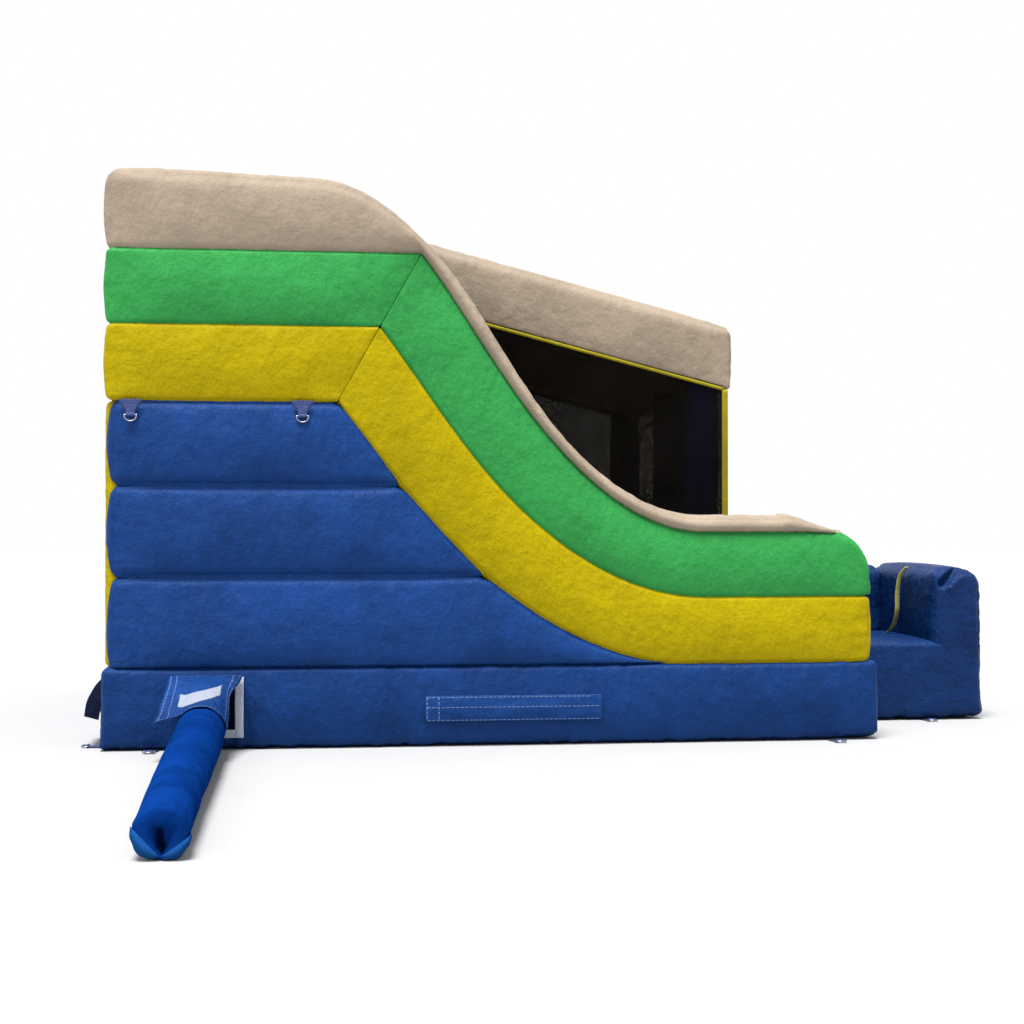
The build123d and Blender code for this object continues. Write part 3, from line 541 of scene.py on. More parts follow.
def vinyl(name, rgb, rough=0.46, pale=0.2, crease=1.0, shine=0.08):
    """Coated PVC cloth: mottled colour, pale flecks that are partly dust and partly painted sheen for the
    highlights on crinkles, a fine weave under the coating and soft creases.
    """
    m = Look(name)
    broad = m.noise(2.1, 5.0, 0.66)
    mottled = m.mix(m.range(broad, 0.35, 0.68), shade(rgb, 1 - pale), shade(rgb, 1 + pale))
    # pale, rougher flecks at the size of the crinkles: partly dust, partly painted sheen standing for crinkle
    # highlights
    dust_and_sheen = m.noise(17.0, 6.0, 0.72)
    m.surface(Base_Color=m.mix(m.range(dust_and_sheen, 0.54, 0.80, 0.0, 0.30), mottled, shade(rgb, 1.45)))
    m.surface(Roughness=m.range(dust_and_sheen, 0.3, 0.75, rough - 0.08, rough + 0.12), Specular_IOR_Level=shine)
    upright = m.noise(1.0, 5.0, 0.62, stretch=(17.0, 17.0, 5.0))
    crumple = m.noise(8.0, 4.0, 0.6)
    height = m.math("ADD", upright, m.math("MULTIPLY", crumple, 1.1))
    creased = m.bump(height, 0.020 * crease, 0.85)
    m.surface(Normal=m.bump(m.weave(0.0029), 0.00012, 0.6, Normal=creased))
    return m.made


def cloth(name, rgb, rough=0.7, pitch=0.0022, pale=0.14):
    """Woven webbing, tape or thread."""
    m = Look(name)
    grain = m.noise(60.0, 5.0, 0.7)
    m.grained(grain, 0.3, shade(rgb, 1 - pale), shade(rgb, 1 + pale, 0.01))
    m.surface(Roughness=m.range(grain, 0.3, 0.7, rough - 0.08, rough + 0.08))
    m.surface(Normal=m.bump(m.weave(pitch), 0.0003, 0.8))
    return m.made


def mesh_cloth(name, rgb, pitch, hole):
    """Knotless netting: a square mesh of dark threads with open holes."""
    m = Look(name)
    m.grained(m.noise(3.0, 5.0, 0.65), 0.35, shade(rgb, 0.75), shade(rgb, 1.35))
    m.surface(Roughness=0.85, Specular_IOR_Level=0.0)
    x, y, z = m.axes()
    opening = None
    for value in (m.math("ADD", x, y), z):
        cell = m.math("FRACT", m.math("DIVIDE", value, pitch))
        inside = m.math("LESS_THAN", m.math("ABSOLUTE", m.math("SUBTRACT", cell, 0.5)), hole / pitch / 2)
        opening = inside if opening is None else m.math("MULTIPLY", opening, inside)
    m.surface(Alpha=m.math("SUBTRACT", 1.0, opening))
    return m.made


def metal(name, rgb, rough=0.32):
    """Plain metal with a fine grain."""
    m = Look(name)
    grain = m.noise(180.0, 4.0, 0.6)
    m.grained(grain, 0.35, shade(rgb, 0.8), shade(rgb, 1.1))
    m.surface(Roughness=m.range(grain, 0.3, 0.7, rough - 0.08, rough + 0.12), Metallic=1.0)
    m.surface(Normal=m.bump(grain, 0.0003, 0.4))
    return m.made


BLUE = vinyl("vinyl_blue", (17, 52, 107), rough=0.44)
BLUE_BASE = vinyl("vinyl_blue_base", (13, 46, 97), rough=0.44)
BLUE_DEEP = vinyl("vinyl_blue_step", (10, 40, 86), rough=0.40, crease=1.3, shine=0.10)
BLUE_GLOSS = vinyl("vinyl_blue_gloss", (6, 42, 104), rough=0.5, shine=0.0, pale=0.32)
# painted light: a paler copy of the sleeve's vinyl for the flaps of its folded end, standing for the light on
# their faces
BLUE_GLOSS_LIT = vinyl("vinyl_blue_gloss_painted_lit", (22, 66, 122), rough=0.5, crease=0.9, shine=0.0)
BLUE_PALE = vinyl("vinyl_blue_flap", (15, 48, 100), rough=0.42, pale=0.35, crease=1.4)
YELLOW = vinyl("vinyl_yellow", (153, 136, 4), rough=0.42, pale=0.10, shine=0.05)
GREEN = vinyl("vinyl_green", (45, 132, 64), rough=0.42, pale=0.11)
TAN = vinyl("vinyl_tan", (143, 129, 113), rough=0.46, pale=0.12, crease=0.75)
LINER = vinyl("liner_vinyl", (22, 52, 108), rough=0.30)
BAFFLE = cloth("baffle_cloth", (150, 150, 145))
CANOPY = vinyl("canopy_cloth", (92, 76, 54), rough=0.6)
NET = mesh_cloth("netting", (14, 12, 9), 0.0085, 0.0038)
NET_FINE = mesh_cloth("netting_fine", (28, 21, 15), 0.0042, 0.0009)
TRIM_YELLOW = vinyl("trim_yellow", (132, 121, 26), rough=0.5, crease=0.3)
TRIM_OLIVE = vinyl("trim_olive", (196, 180, 80), rough=0.5, crease=0.3)
WEB_YELLOW = cloth("webbing_yellow", (168, 162, 84))
WEB_BLUE = cloth("webbing_blue", (26, 48, 104))
LOOP_TAPE = cloth("hook_and_loop", (176, 184, 198), rough=0.85)
PATCH = vinyl("patch_white", (132, 137, 150), rough=0.45, pale=0.05, crease=0.5)
ZIP_TAPE = cloth("zipper_tape", (14, 18, 30))
ZIP_METAL = metal("zipper_metal", (46, 48, 52))
STEEL = metal("ring_steel", (150, 152, 168))
THREAD = cloth("thread", (92, 114, 158), rough=0.6, pitch=0.001)
BLUE_NIGHT = vinyl("vinyl_blue_night", (9, 20, 46), rough=0.5)
# painted shade: near-black cloth for the shadowed mouth of the blower port
SHADOW_CLOTH = vinyl("vinyl_blue_shadow", (5, 9, 22), rough=0.8, shine=0.02)

# ---------------------------------------------------------------- slide walls
DECK_FALL = spline(DECK_SEAM, FALL, (1, 0))
YELLOW_FALL = spline(YELLOW_SEAM, FALL, (1, 0))
GREEN_FALL = spline(GREEN_SEAM, FALL, (1, 0))
CAP_FALL = spline((CAP_SHOULDER, *CAP_SEAM), (1, -0.1), (1, 0))
CHAMBER_Z = (BASE_H, 1.26, 1.93, DECK_Z)
WALL_IN = 0.026  # how far the seams' plane lies inside the wall's faces


def fall_between(curve, z0, z1):
    """Places along a falling seam for heights from z0 to z1."""
    z = np.linspace(z0, z1, 40)
    order = np.argsort(curve[:, 1])
    return np.stack([np.interp(z, curve[order, 1], curve[order, 0]), z], -1)


def shoulder(curve):
    """The part of the cap's top before the seam's kink, and the part after it."""
    i = np.argmin(np.linalg.norm(curve - np.array(CAP_SEAM[0]), axis=1))
    return curve[: i + 1], curve[i:]


def blue_panel(n0, s0, step, seed):
    """The blue chambers of a slide wall, one above the other and cut off by the falling deck seam."""
    depth = (n0 + WALL_IN, n0 + WALL_T - WALL_IN)
    made = []
    for k, (z0, z1) in enumerate(zip(CHAMBER_Z[:-1], CHAMBER_Z[1:])):
        right = fall_between(DECK_FALL, z0, z1)
        slant = math.atan2(z1 - z0, abs(right[0, 0] - right[-1, 0]))
        left = line((s0, z0), (s0, z1))
        radii = (SEAM, SEAM, SOFT, (0.05 / math.sin(slant), 0.03))
        made.append(pillow(left, right, depth, radii, step=step, seed=seed + k, swell=0.052))
    return joined(*made)


def band(n0, pairs, radii, step, seed, under=None, gather=(0, 0)):
    """A coloured band between matched edges; under is a ceiling height along s that cuts it off."""
    low, high = matched(*pairs)
    if under is not None:
        low[:, 1] = np.minimum(low[:, 1], under(low[:, 0]))
        high[:, 1] = np.minimum(high[:, 1], under(high[:, 0]))
        keep = np.linalg.norm(high - low, axis=1) > 0.05
        low, high = low[keep], high[keep]
    depth = (n0 + WALL_IN, n0 + WALL_T - WALL_IN)
    return pillow(low, high, depth, radii, step=step, seed=seed, gather=gather, swell=0.034)


MITRE = (0.012, 0.008)
CAP_REAR, CAP_FRONT = shoulder(CAP_FALL)
CAP_DEPTH = CAP_SEAM[2][1] - GREEN_SEAM[2][1]
TAPER_S = np.linspace(NOSE_S - 0.36, NOSE_S + 0.11, 50)  # where the cap thins away on to the green nose


def cap_taper():
    """The cap's lower and upper edges where it thins away."""
    under = NOSE_Z + np.sqrt(NOSE_R**2 - np.maximum(TAPER_S - NOSE_S, 0) ** 2)
    f = np.linspace(0, 1, len(TAPER_S))
    depth = CAP_DEPTH * (1 - f * f * (3 - 2 * f)) + 0.014
    return np.stack([TAPER_S, under], -1), np.stack([TAPER_S, under + depth], -1)


GREEN_NOSE = arc((NOSE_S, NOSE_Z), NOSE_R, 90, 0, count=60)
NOSE_UNDER_S = 5.1  # the yellow seam's place below the start of the nose


def level(s0, s1, z):
    """A level run at height z."""
    return line((s0, z), (s1, z))


def slide_wall(side, n0, s0, high_s0, step, seed, under=None):
    """The four coloured parts of a slide wall whose outer face is at n0."""

    def part(colour, made, material, node):
        piece(f"{side}_wall_{colour}", made, material,
              replaces=[f"{side}_wall_{node}"])

    def both_sides(rear, front, first, **rest):
        """A band's part behind the seam's kink and its part in front of it."""
        return joined(
            band(n0, [rear], (end, MITRE, FINE_SEAM, FINE_SEAM), step, first, **rest),
            band(n0, front, (MITRE, SOFT, FINE_SEAM, FINE_SEAM), step, first + 2, **rest),
        )

    end = SOFT if under is None else SEAM
    (deck_s, _), (yellow_s, _), (green_s, _) = DECK_SEAM[0], YELLOW_SEAM[0], GREEN_SEAM[0]
    deck_end = DECK_SEAM[2][0]
    (yellow_end, yellow_low), (green_end, green_low) = YELLOW_SEAM[2], GREEN_SEAM[2]
    part("blue", blue_panel(n0, s0, step, seed), BLUE, "blue_panel")
    rear = level(high_s0, deck_s, DECK_Z), level(high_s0, yellow_s, YELLOW_Z)
    front = [
        (DECK_FALL, YELLOW_FALL),
        (level(deck_end, BAND_END, BASE_H), level(yellow_end, BAND_END, yellow_low)),
    ]
    part("yellow", both_sides(rear, front, seed + 10), YELLOW, "yellow_band")
    rear = level(high_s0, yellow_s, YELLOW_Z), level(high_s0, green_s, GREEN_Z)
    front = [
        (YELLOW_FALL, GREEN_FALL),
        (level(yellow_end, NOSE_UNDER_S, yellow_low), level(green_end, NOSE_S, green_low)),
        (level(NOSE_UNDER_S, BAND_END, yellow_low), GREEN_NOSE),
    ]
    part("green", both_sides(rear, front, seed + 20, under=under), GREEN, "green_band")
    cap = [
        (level(high_s0, 1.6, GREEN_Z), line((high_s0, CAP_Z), CAP_SHOULDER)),
        (level(1.6, green_s, GREEN_Z), CAP_REAR),
        (GREEN_FALL, CAP_FRONT),
        (level(green_end, TAPER_S[0], green_low), level(CAP_SEAM[2][0], TAPER_S[0], CAP_SEAM[2][1])),
        cap_taper(),
    ]
    cap = band(n0, cap, (ROUND, ROUND, FINE_SEAM, ROUND), step, seed + 30, under=under, gather=(0.001, 0.005))
    part("cap", cap, TAN, "tan_cap")


def rear_corner_strip():
    """A narrow yellow chamber up the rear corner of the outer wall, behind the ends of the blue chambers."""
    strip = box_pillow((-0.012, 0.14), (BASE_H + 0.01, DECK_Z - 0.01), (0.085, WALL_T - 0.01),
                       (SOFT, TIGHT, TIGHT, TIGHT), swell=0.006, step=0.03, seed=95)
    piece("outer_wall_corner_strip", strip, YELLOW)


slide_wall("outer", 0.0, 0.038, 0.0, 0.021, 11)
rear_corner_strip()
slide_wall("inner", INNER_N0, 0.3, 1.45, 0.05, 61, under=beam_foot)

# ---------------------------------------------------------------- base, floor and entrance chambers
def chamber(name, made, node, material=BLUE):
    """Air chambers that stand for a node of the CAD."""
    return piece(name, made, material, replaces=[node])


BASE_IN = 0.040
END_IN = 0.02
UNDER = (0.060, 0.15)  # how a base chamber's lower edge rolls under
TOP_EDGE = (0.05, 0.03)


def settled(points):
    """Flat where it rests on the ground."""
    points = points.copy()
    points[:, 2] = np.maximum(points[:, 2], 0.0)
    return points


def eared(points, end_s, side_n, out, lift):
    """Draws the bottom corner at (end_s, side_n) out to a point and lifts it off the ground a little."""
    from_end, from_side = np.abs(points[:, 0] - end_s), np.abs(points[:, 1] - side_n)
    low = np.exp(-points[:, 2] / 0.11)
    points[:, 0] += out * low * np.exp(-from_side / 0.12) * np.exp(-from_end / 0.22)
    points[:, 1] -= 0.35 * abs(out) * low * np.exp(-from_end / 0.10) * np.exp(-from_side / 0.12)
    points[:, 2] += lift * np.exp(-points[:, 2] / 0.25) * np.exp(-from_end / 0.28) * np.exp(-from_side / 0.25)
    return points


def base_warp(points):
    points = eared(points, LENGTH + BASE_OUT, -BASE_OUT, 0.018, 0.045)
    points = eared(points, -BASE_OUT, -BASE_OUT, -0.030, 0.0)
    return settled(points)


s_range, n_range, z_range = limits("slide_base")
base = box_pillow(
    (s_range[0], s_range[1] - END_IN), z_range, (n_range[0] + BASE_IN, n_range[1]),
    (TIGHT, TIGHT, UNDER, TOP_EDGE), swell=0.045, step=0.024, seed=101, warp=base_warp,
    pucker=0.004, gather=(0.012, 0.006),
)
base_obj = chamber("base_course", base, "slide_base", BLUE_BASE)

s_range, n_range, z_range = limits("jump_floor")
PERIMETER = 0.30  # width of the floor's rim
TUBES = 6
LAP = 0.025  # how far the rim reaches over the tubes' ends
rim = [
    (n_range, (s_range[0], s_range[0] + PERIMETER + LAP), CROSS),
    (s_range, (n_range[1] - PERIMETER - LAP, n_range[1]), SIDE),
    (n_range, (s_range[1] - PERIMETER, s_range[1]), CROSS),
]
RIM_RADII = (TIGHT, TIGHT, SOFT, SOFT)
floor = [
    box_pillow(a, z_range, depth, RIM_RADII, axes=axes, seed=seed, step=0.05, swell=0.012, warp=settled)
    for (a, depth, axes), seed in zip(rim, (111, 113, 115))
]
inside = (s_range[0] + PERIMETER, s_range[1] - PERIMETER)
cuts = np.linspace(n_range[0], n_range[1] - PERIMETER, TUBES + 1)
for i in range(TUBES):
    radii = (TIGHT, TIGHT, (0.09, 0.07), (0.09, 0.07))
    floor.append(box_pillow(inside, cuts[i : i + 2], (0.05, BASE_H - 0.03), radii, axes=FLAT, seed=120 + i,
                            step=0.06, swell=0.03))
chamber("jump_floor_chambers", joined(*floor), "jump_floor")

s_range, n_range, z_range = limits("entrance_platform")
platform = box_pillow(s_range, z_range, n_range, RIM_RADII, swell=0.015, step=0.05, seed=131, warp=settled)
chamber("entrance_platform_chamber", platform, "entrance_platform", BLUE_DEEP)

GUARD_S0 = 6.70
(step_s0, step_s1), (step_n0, step_n1), (_, step_z) = limits("entrance_step")
guard_z = limits("entrance_walls")[2][1]


GUARD_CORNER = 0.15  # radius of the entrance block's upper front corner
FOLD = ((6.935, 1.285), (6.785, 1.150))  # the fold across the upper corner of the entrance block's end


def near_fold(points):
    """A deep diagonal fold in the near end of the entrance block, with a roll of cloth below it."""
    (s0, z0), (s1, z1) = FOLD
    ds, dz = s1 - s0, z1 - z0
    length = math.hypot(ds, dz)
    t = np.clip(((points[:, 0] - s0) * ds + (points[:, 2] - z0) * dz) / length**2, 0, 1)
    off = np.hypot(points[:, 0] - s0 - t * ds, points[:, 2] - z0 - t * dz)
    below = ((points[:, 0] - s0) * dz - (points[:, 2] - z0) * ds) / length
    near = np.exp(-np.maximum(points[:, 1] - step_n0, 0) / 0.08)
    groove = 0.095 * np.exp(-((off / 0.028) ** 2))
    roll = 0.016 * np.exp(-(((below + 0.07) / 0.035) ** 2)) * (t > 0) * (t < 1)
    points[:, 1] += near * (groove - roll)
    return points


def step_warp(points):
    points = eared(points, step_s1, step_n0, 0.035, 0.03)
    return settled(points)


def guard_warp(points):
    """The front wall leans in a little towards its top."""
    across = np.clip((points[:, 0] - step_s1 + GUARD_CORNER) / GUARD_CORNER, 0, 1)
    up = np.clip((points[:, 2] - guard_z + GUARD_CORNER) / GUARD_CORNER, 0, 1)
    points[:, 0] -= GUARD_CORNER * across * (1 - np.sqrt(1 - up**2 / 2))
    points[:, 2] -= GUARD_CORNER * up * (1 - np.sqrt(1 - across**2 / 2))
    lean = np.clip((points[:, 2] - 0.6) / 0.7, 0, 1) ** 1.6
    points[:, 0] -= 0.010 * lean * np.clip((points[:, 0] - GUARD_S0) / 0.3, 0, 1)
    return near_fold(points)


step_block = box_pillow(
    (step_s0, step_s1), (0, step_z + 0.01), (step_n0 + 0.004, step_n1), (TIGHT, SEAM, UNDER, (0.05, 0.035)),
    swell=0.02, step=0.028, seed=141, warp=step_warp, pucker=0.006, gather=(0.02, 0.010),
)
chamber("entrance_step_chamber", step_block, "entrance_step", BLUE_DEEP)
front_guard = box_pillow(
    (GUARD_S0, step_s1), (step_z - 0.05, guard_z), (step_n0, step_n1),
    (SEAM, (0.09, 0.06), (0.02, 0.006), (0.11, 0.10)),
    swell=0.02, step=0.020, seed=151, warp=guard_warp, pucker=0.008, gather=(0.004, 0.012),
)
far_guard = box_pillow(
    (HOUSE_L, GUARD_S0), (step_z - 0.02, guard_z), (2.40, 2.75), (SEAM, SEAM, SEAM, (0.12, 0.12)),
    swell=0.018, step=0.05, seed=161,
)
chamber("entrance_wall_chambers", joined(front_guard, far_guard), "entrance_walls", BLUE_DEEP)

# ---------------------------------------------------------------- rear wall, platforms, slide bed and climb
ALL_SEAM = (SEAM,) * 4
ALL_TIGHT = (TIGHT,) * 4

s_range, n_range, z_range = limits("rear_wall")
inside = (s_range[0] + 0.012, s_range[1] - 0.012)
rear = row(np.linspace(*n_range, 6), z_range, inside, ALL_SEAM, 170, axes=CROSS, swell=0.03, step=0.06)
chamber("rear_wall_chambers", rear, "rear_wall")
s_range, n_range, z_range = limits("rear_wall_cap")
rear = box_pillow(n_range, z_range, s_range, (SEAM, SEAM, SEAM, (0.11, 0.11)), axes=CROSS, swell=0.01,
                  step=0.05, seed=181)
chamber("rear_cap", rear, "rear_wall_cap", TAN)

for name, seed in (("top_platform", 191), ("landing_platform", 201)):
    s_range, n_range, z_range = limits(name)
    made = row(np.linspace(*s_range, 4), n_range, z_range, ALL_SEAM, seed, axes=FLAT, swell=0.0, step=0.06)
    chamber(f"{name}_chambers", made, name)

BED_Z = BASE_H + 0.04
BED_BACK_Z = BASE_H - 0.02
LANE_START, LANE_END = 1.68, 4.35  # where the slide lane leaves the deck and where it levels out
LANE_FALL = spline(((LANE_START, DECK_Z), (2.88, 1.21), (LANE_END, BED_Z)), FALL, (1, 0))
bed_top = np.concatenate([level(1.5, LANE_START, DECK_Z), LANE_FALL, level(LANE_END, LENGTH, BED_Z)])
bed_back = np.concatenate([line((1.5, DECK_Z - 0.4), (2.95, BED_BACK_Z)), level(2.95, LENGTH, BED_BACK_Z)])
bed = pillow(even(bed_back, 160), even(bed_top, 160), (WALL_T - 0.01, INNER_N0 + 0.01),
             (TIGHT, TIGHT, (0.02, 0.02), (0.02, 0.02)), swell=0.0, step=0.06, seed=211, pucker=0)
chamber("slide_bed_chamber", bed, "slide_bed")


def slide_liner():
    """The liner laid on the slide bed, dished between its edges and two lines of stitching."""
    end = level(LANE_END, LENGTH - 0.02, BED_Z)
    top = even(np.concatenate([level(1.5, LANE_START, DECK_Z), LANE_FALL, end]), 180)
    tangent = np.gradient(top, axis=0)
    tangent /= np.linalg.norm(tangent, axis=1, keepdims=True)
    off = np.stack([-tangent[:, 1], np.zeros(len(tangent)), tangent[:, 0]], -1)
    n = np.linspace(WALL_T + 0.015, INNER_N0 - 0.015, 40)
    dish = 0.014 + 0.010 * np.abs(np.sin((n - n[0]) / (n[-1] - n[0]) * 3 * np.pi)) - 0.010
    grid = np.zeros((len(top), len(n), 3))
    grid[..., 0], grid[..., 1], grid[..., 2] = top[:, None, 0], n[None], top[:, None, 1]
    grid += off[:, None] * dish[None, :, None]
    sheet = thick_sheet(grid, off[:, None], 0.0025)
    liner = piece("slide_liner_sheet", sheet, LINER, replaces=["slide_liner"])


slide_liner()
_, n_range, _ = limits("climb_ramp")
low, high = line((1.3, DECK_Z - 0.4), (2.74, BASE_H)), line((1.3, DECK_Z), (3.3, BASE_H))
ramp = pillow(low, high, n_range, ALL_TIGHT, swell=0.0, step=0.08, seed=221)
chamber("climb_ramp_chamber", ramp, "climb_ramp")

RAMP_RUN, RAMP_RISE = 2.0, DECK_Z - BASE_H
RAMP_LENGTH = math.hypot(RAMP_RUN, RAMP_RISE)
DOWN = np.array([RAMP_RUN, 0, -RAMP_RISE]) / RAMP_LENGTH
OFF = np.array([RAMP_RISE, 0, RAMP_RUN]) / RAMP_LENGTH
RAMP_MID = np.array([2.3, 0, (DECK_Z + BASE_H) / 2])
RUNGS = 5
rungs = []
for i in range(RUNGS):
    centre = RAMP_MID + DOWN * (i - 2) * RAMP_LENGTH / (RUNGS + 1)
    t = np.linspace(0, 1, 24)
    end = np.minimum(np.minimum(t, 1 - t) / 0.07, 1)
    radius = 0.078 * np.minimum(1, np.sqrt(1 - (1 - end) ** 2) * 0.75 + 0.25)
    path = centre + np.stack([np.zeros(24), 1.555 + t * 0.78, np.zeros(24)], -1)
    rungs.append(tube(path, radius, 16))
chamber("climb_rung_rolls", joined_lists(rungs), "climb_rungs", YELLOW)

handles = []
for k, n in product((-1.5, 1.5), (1.71, 2.18)):
    centre = RAMP_MID + DOWN * k * RAMP_LENGTH / (RUNGS + 1) + np.array([0, n, 0])
    a = np.linspace(-0.04, math.pi + 0.04, 20)
    path = centre + 0.071 * (np.cos(a)[:, None] * DOWN + np.sin(a)[:, None] * OFF)
    handles.append(ribbon(path, (0, 1, 0), 0.048, 0.006, crown=0.002))
piece("climb_handle_straps", joined(*handles), WEB_YELLOW, replaces=["climb_handles"])

(s0, s1), n_range, (z0, z1) = limits("climb_side_wall")
low = line((s0, z0), (s1, z0))
high = np.concatenate([level(s0, 1.3, z1), line((1.3, z1), (s1, 1.16))])
side_wall = pillow(even(low, 100), even(high, 100), n_range, (SEAM, SEAM, SEAM, (0.08, 0.08)), swell=0.0,
                   step=0.07, seed=231)
chamber("climb_side_chamber", side_wall, "climb_side_wall")

# ---------------------------------------------------------------- house: low walls, columns, beams and canopy
low_walls = [
    # axes, run, depth, top, how many chambers
    (SIDE, (0.31, 4.575), (4.60, 4.88), 1.30, 8),
    (CROSS, (2.705, 4.565), (4.60, 4.88), 1.15, 4),
    (CROSS, (2.60, 4.565), (0.0, 0.28), 1.50, 4),
]
made = [
    row(np.linspace(*run, count + 1), (BASE_H - 0.01, top), (depth[0] + 0.01, depth[1] - 0.01),
        (SEAM, SEAM, SEAM, (0.1, 0.1)), 240 + 10 * k, axes=axes, swell=0.02, step=0.07)
    for k, (axes, run, depth, top, count) in enumerate(low_walls)
]
chamber("low_wall_chambers", joined(*made), "house_low_walls")


def column(s, n, z0, seed):
    """An inflated upright, with puckers round its ends."""
    z1 = float(roof_z(s)) - BEAM_H + 0.05
    rows, sides = 60, 32
    z = np.linspace(z0 - 0.02, z1, rows)
    a = np.linspace(0, 2 * np.pi, sides, endpoint=False)
    zz, aa = np.meshgrid(z, a, indexing="ij")
    end = np.minimum(zz - z[0], z[-1] - zz)
    r = 0.150 - 0.03 * np.exp(-end / 0.06)
    spot = np.stack([aa * 0.15, zz], -1)
    puckers = 0.004 * np.exp(-end / 0.15) * noise(spot, (0.04, 0.4), seed)
    r += puckers + 0.002 * noise(spot, (0.2, 0.4), seed + 1)
    r = np.minimum(r, 0.1515)
    ring = np.stack([s + r * np.cos(aa), n + r * np.sin(aa), zz], -1).reshape(-1, 3)
    ends = [list(range(sides))[::-1], list(range((rows - 1) * sides, rows * sides))]
    return ring, ring_faces(rows, sides) + ends


COLUMNS = (
    # s, n, foot
    (4.73, 1.34, 1.715), (4.73, 2.55, BASE_H), (4.73, 4.72, BASE_H),
    (2.45, 4.72, 1.30), (0.155, 4.72, BASE_H),
)
columns = joined_lists([column(*place, 300 + 3 * i) for i, place in enumerate(COLUMNS)])
chamber("column_tubes", columns, "house_columns", BLUE_GLOSS)

BEAM_NOSE = 0.055  # how far the beams' front ends swell past the net


def beam(name, s, depth, radii, **rest):
    """A roof beam whose top follows the roof along s."""
    low, high = (np.stack([s, roof_z(s) - drop], -1) for drop in (BEAM_H, 0))
    chamber(f"{name}_tube", pillow(low, high, depth, radii, **rest), name, TAN)


for name, seed in (("near_roof_beam", 321), ("far_roof_beam", 331)):
    _, (n0, n1), _ = limits(name)
    sloping = np.linspace(ROOF_BEND_S, HOUSE_L + BEAM_NOSE, 90)
    s = np.concatenate([np.linspace(0, ROOF_BEND_S, 30), sloping[1:]])
    radii = ((0.10, 0.08), (0.040, 0.035), (0.03, 0.03), (0.11, 0.11))
    depth = (n0 + 0.008, n1 - 0.008)
    beam(name, s, depth, radii, swell=0.022, seed=seed, pucker=0.004, gather=(0.004, 0.004))
for name, seed in (("rear_roof_beam", 341), ("front_roof_beam", 351)):
    s_range, (n0, n1), _ = limits(name)
    radii = ((0.08, 0.03), (0.08, 0.03), (0.05, 0.03), (0.10, 0.03))
    beam(name, np.linspace(*s_range, 20), (n0 - 0.06, n1 + 0.06), radii, swell=0.006, step=0.04, seed=seed,
         pucker=0.003)

s_range, n_range, _ = limits("roof_canopy")
s = np.linspace(s_range[0] - 0.03, s_range[1] + 0.03, 80)
n = np.linspace(n_range[0] - 0.03, n_range[1] + 0.03, 60)
ss, nn = np.meshgrid(s, n, indexing="ij")
sag = rise(ss - s[0], s[-1] - s[0], 0.9) * rise(nn - n[0], n[-1] - n[0], 0.9)
zz = roof_z(ss) - 0.164 - 0.05 * sag + 0.004 * noise(np.stack([ss, nn], -1), (0.25, 0.35), 361)
canopy = piece("canopy_sheet", grid_sheet(np.stack([ss, nn, zz], -1)), CANOPY,
               replaces=["roof_canopy"], closed=False)

# ---------------------------------------------------------------- netting and its trims
CAP_TOP = np.concatenate([CAP_FALL, level(4.45, NOSE_S, CAP_SEAM[2][1])])


def cap_top(s):
    """Height of the slide walls' caps at s."""
    order = np.argsort(CAP_TOP[:, 0], kind="stable")
    return np.interp(s, CAP_TOP[order, 0], CAP_TOP[order, 1])


def net(name, node, a, low, high, depth, axes, material):
    """A netting panel between heights low(a) and high(a) along a, a little slack."""
    v = np.linspace(0, 1, 50)
    aa, vv = np.meshgrid(a, v, indexing="ij")
    lo, hi = np.broadcast_to(low(a), a.shape)[:, None], np.broadcast_to(high(a), a.shape)[:, None]
    zz = lo + (hi - lo) * vv
    grid = np.zeros((*aa.shape, 3))
    wave = 0.0016 * noise(np.stack([aa, zz], -1), (0.3, 0.5), 371)
    grid[..., axes[0]], grid[..., axes[1]], grid[..., axes[2]] = aa, zz, depth + wave
    obj = piece(name, grid_sheet(grid), material, replaces=[node] if node else [], closed=False)


NEAR_N = INNER_N0 + 0.010
FAR_NET_N, REAR_NET_S, FRONT_NET_S = 4.866, 0.014, 4.884
front_top = float(roof_z(4.886)) - BEAM_H + 0.03
net("near_net_panel", "near_net", np.linspace(2.60, 4.885, 120),
    lambda s: np.minimum(cap_top(s) - 0.06, roof_z(s) - BEAM_H - 0.02), lambda s: beam_foot(s, 0.05),
    NEAR_N, SIDE, NET)
net("far_net_panel", "far_net", np.linspace(0.02, 4.88, 120),
    lambda s: 1.25 + 0 * s, lambda s: beam_foot(s, 0.012), FAR_NET_N, SIDE, NET_FINE)
net("rear_net_panel", "rear_net", np.linspace(2.602, 4.87, 80),
    lambda n: 1.45 + 0 * n, lambda n: 3.765 + 0 * n, REAR_NET_S, CROSS, NET_FINE)
for name, node, n, foot in (
    ("front_net_panel", "front_net", np.linspace(2.40, 4.87, 80), 1.10),
    ("front_net_by_door", None, np.linspace(1.185, 1.500, 30), 1.74),
    ("front_net_over_door", None, np.linspace(1.495, 2.401, 40), 2.25),
):
    net(name, node, n, lambda n: foot + 0 * n, lambda n: front_top + 0 * n, FRONT_NET_S, CROSS,
        NET_FINE)


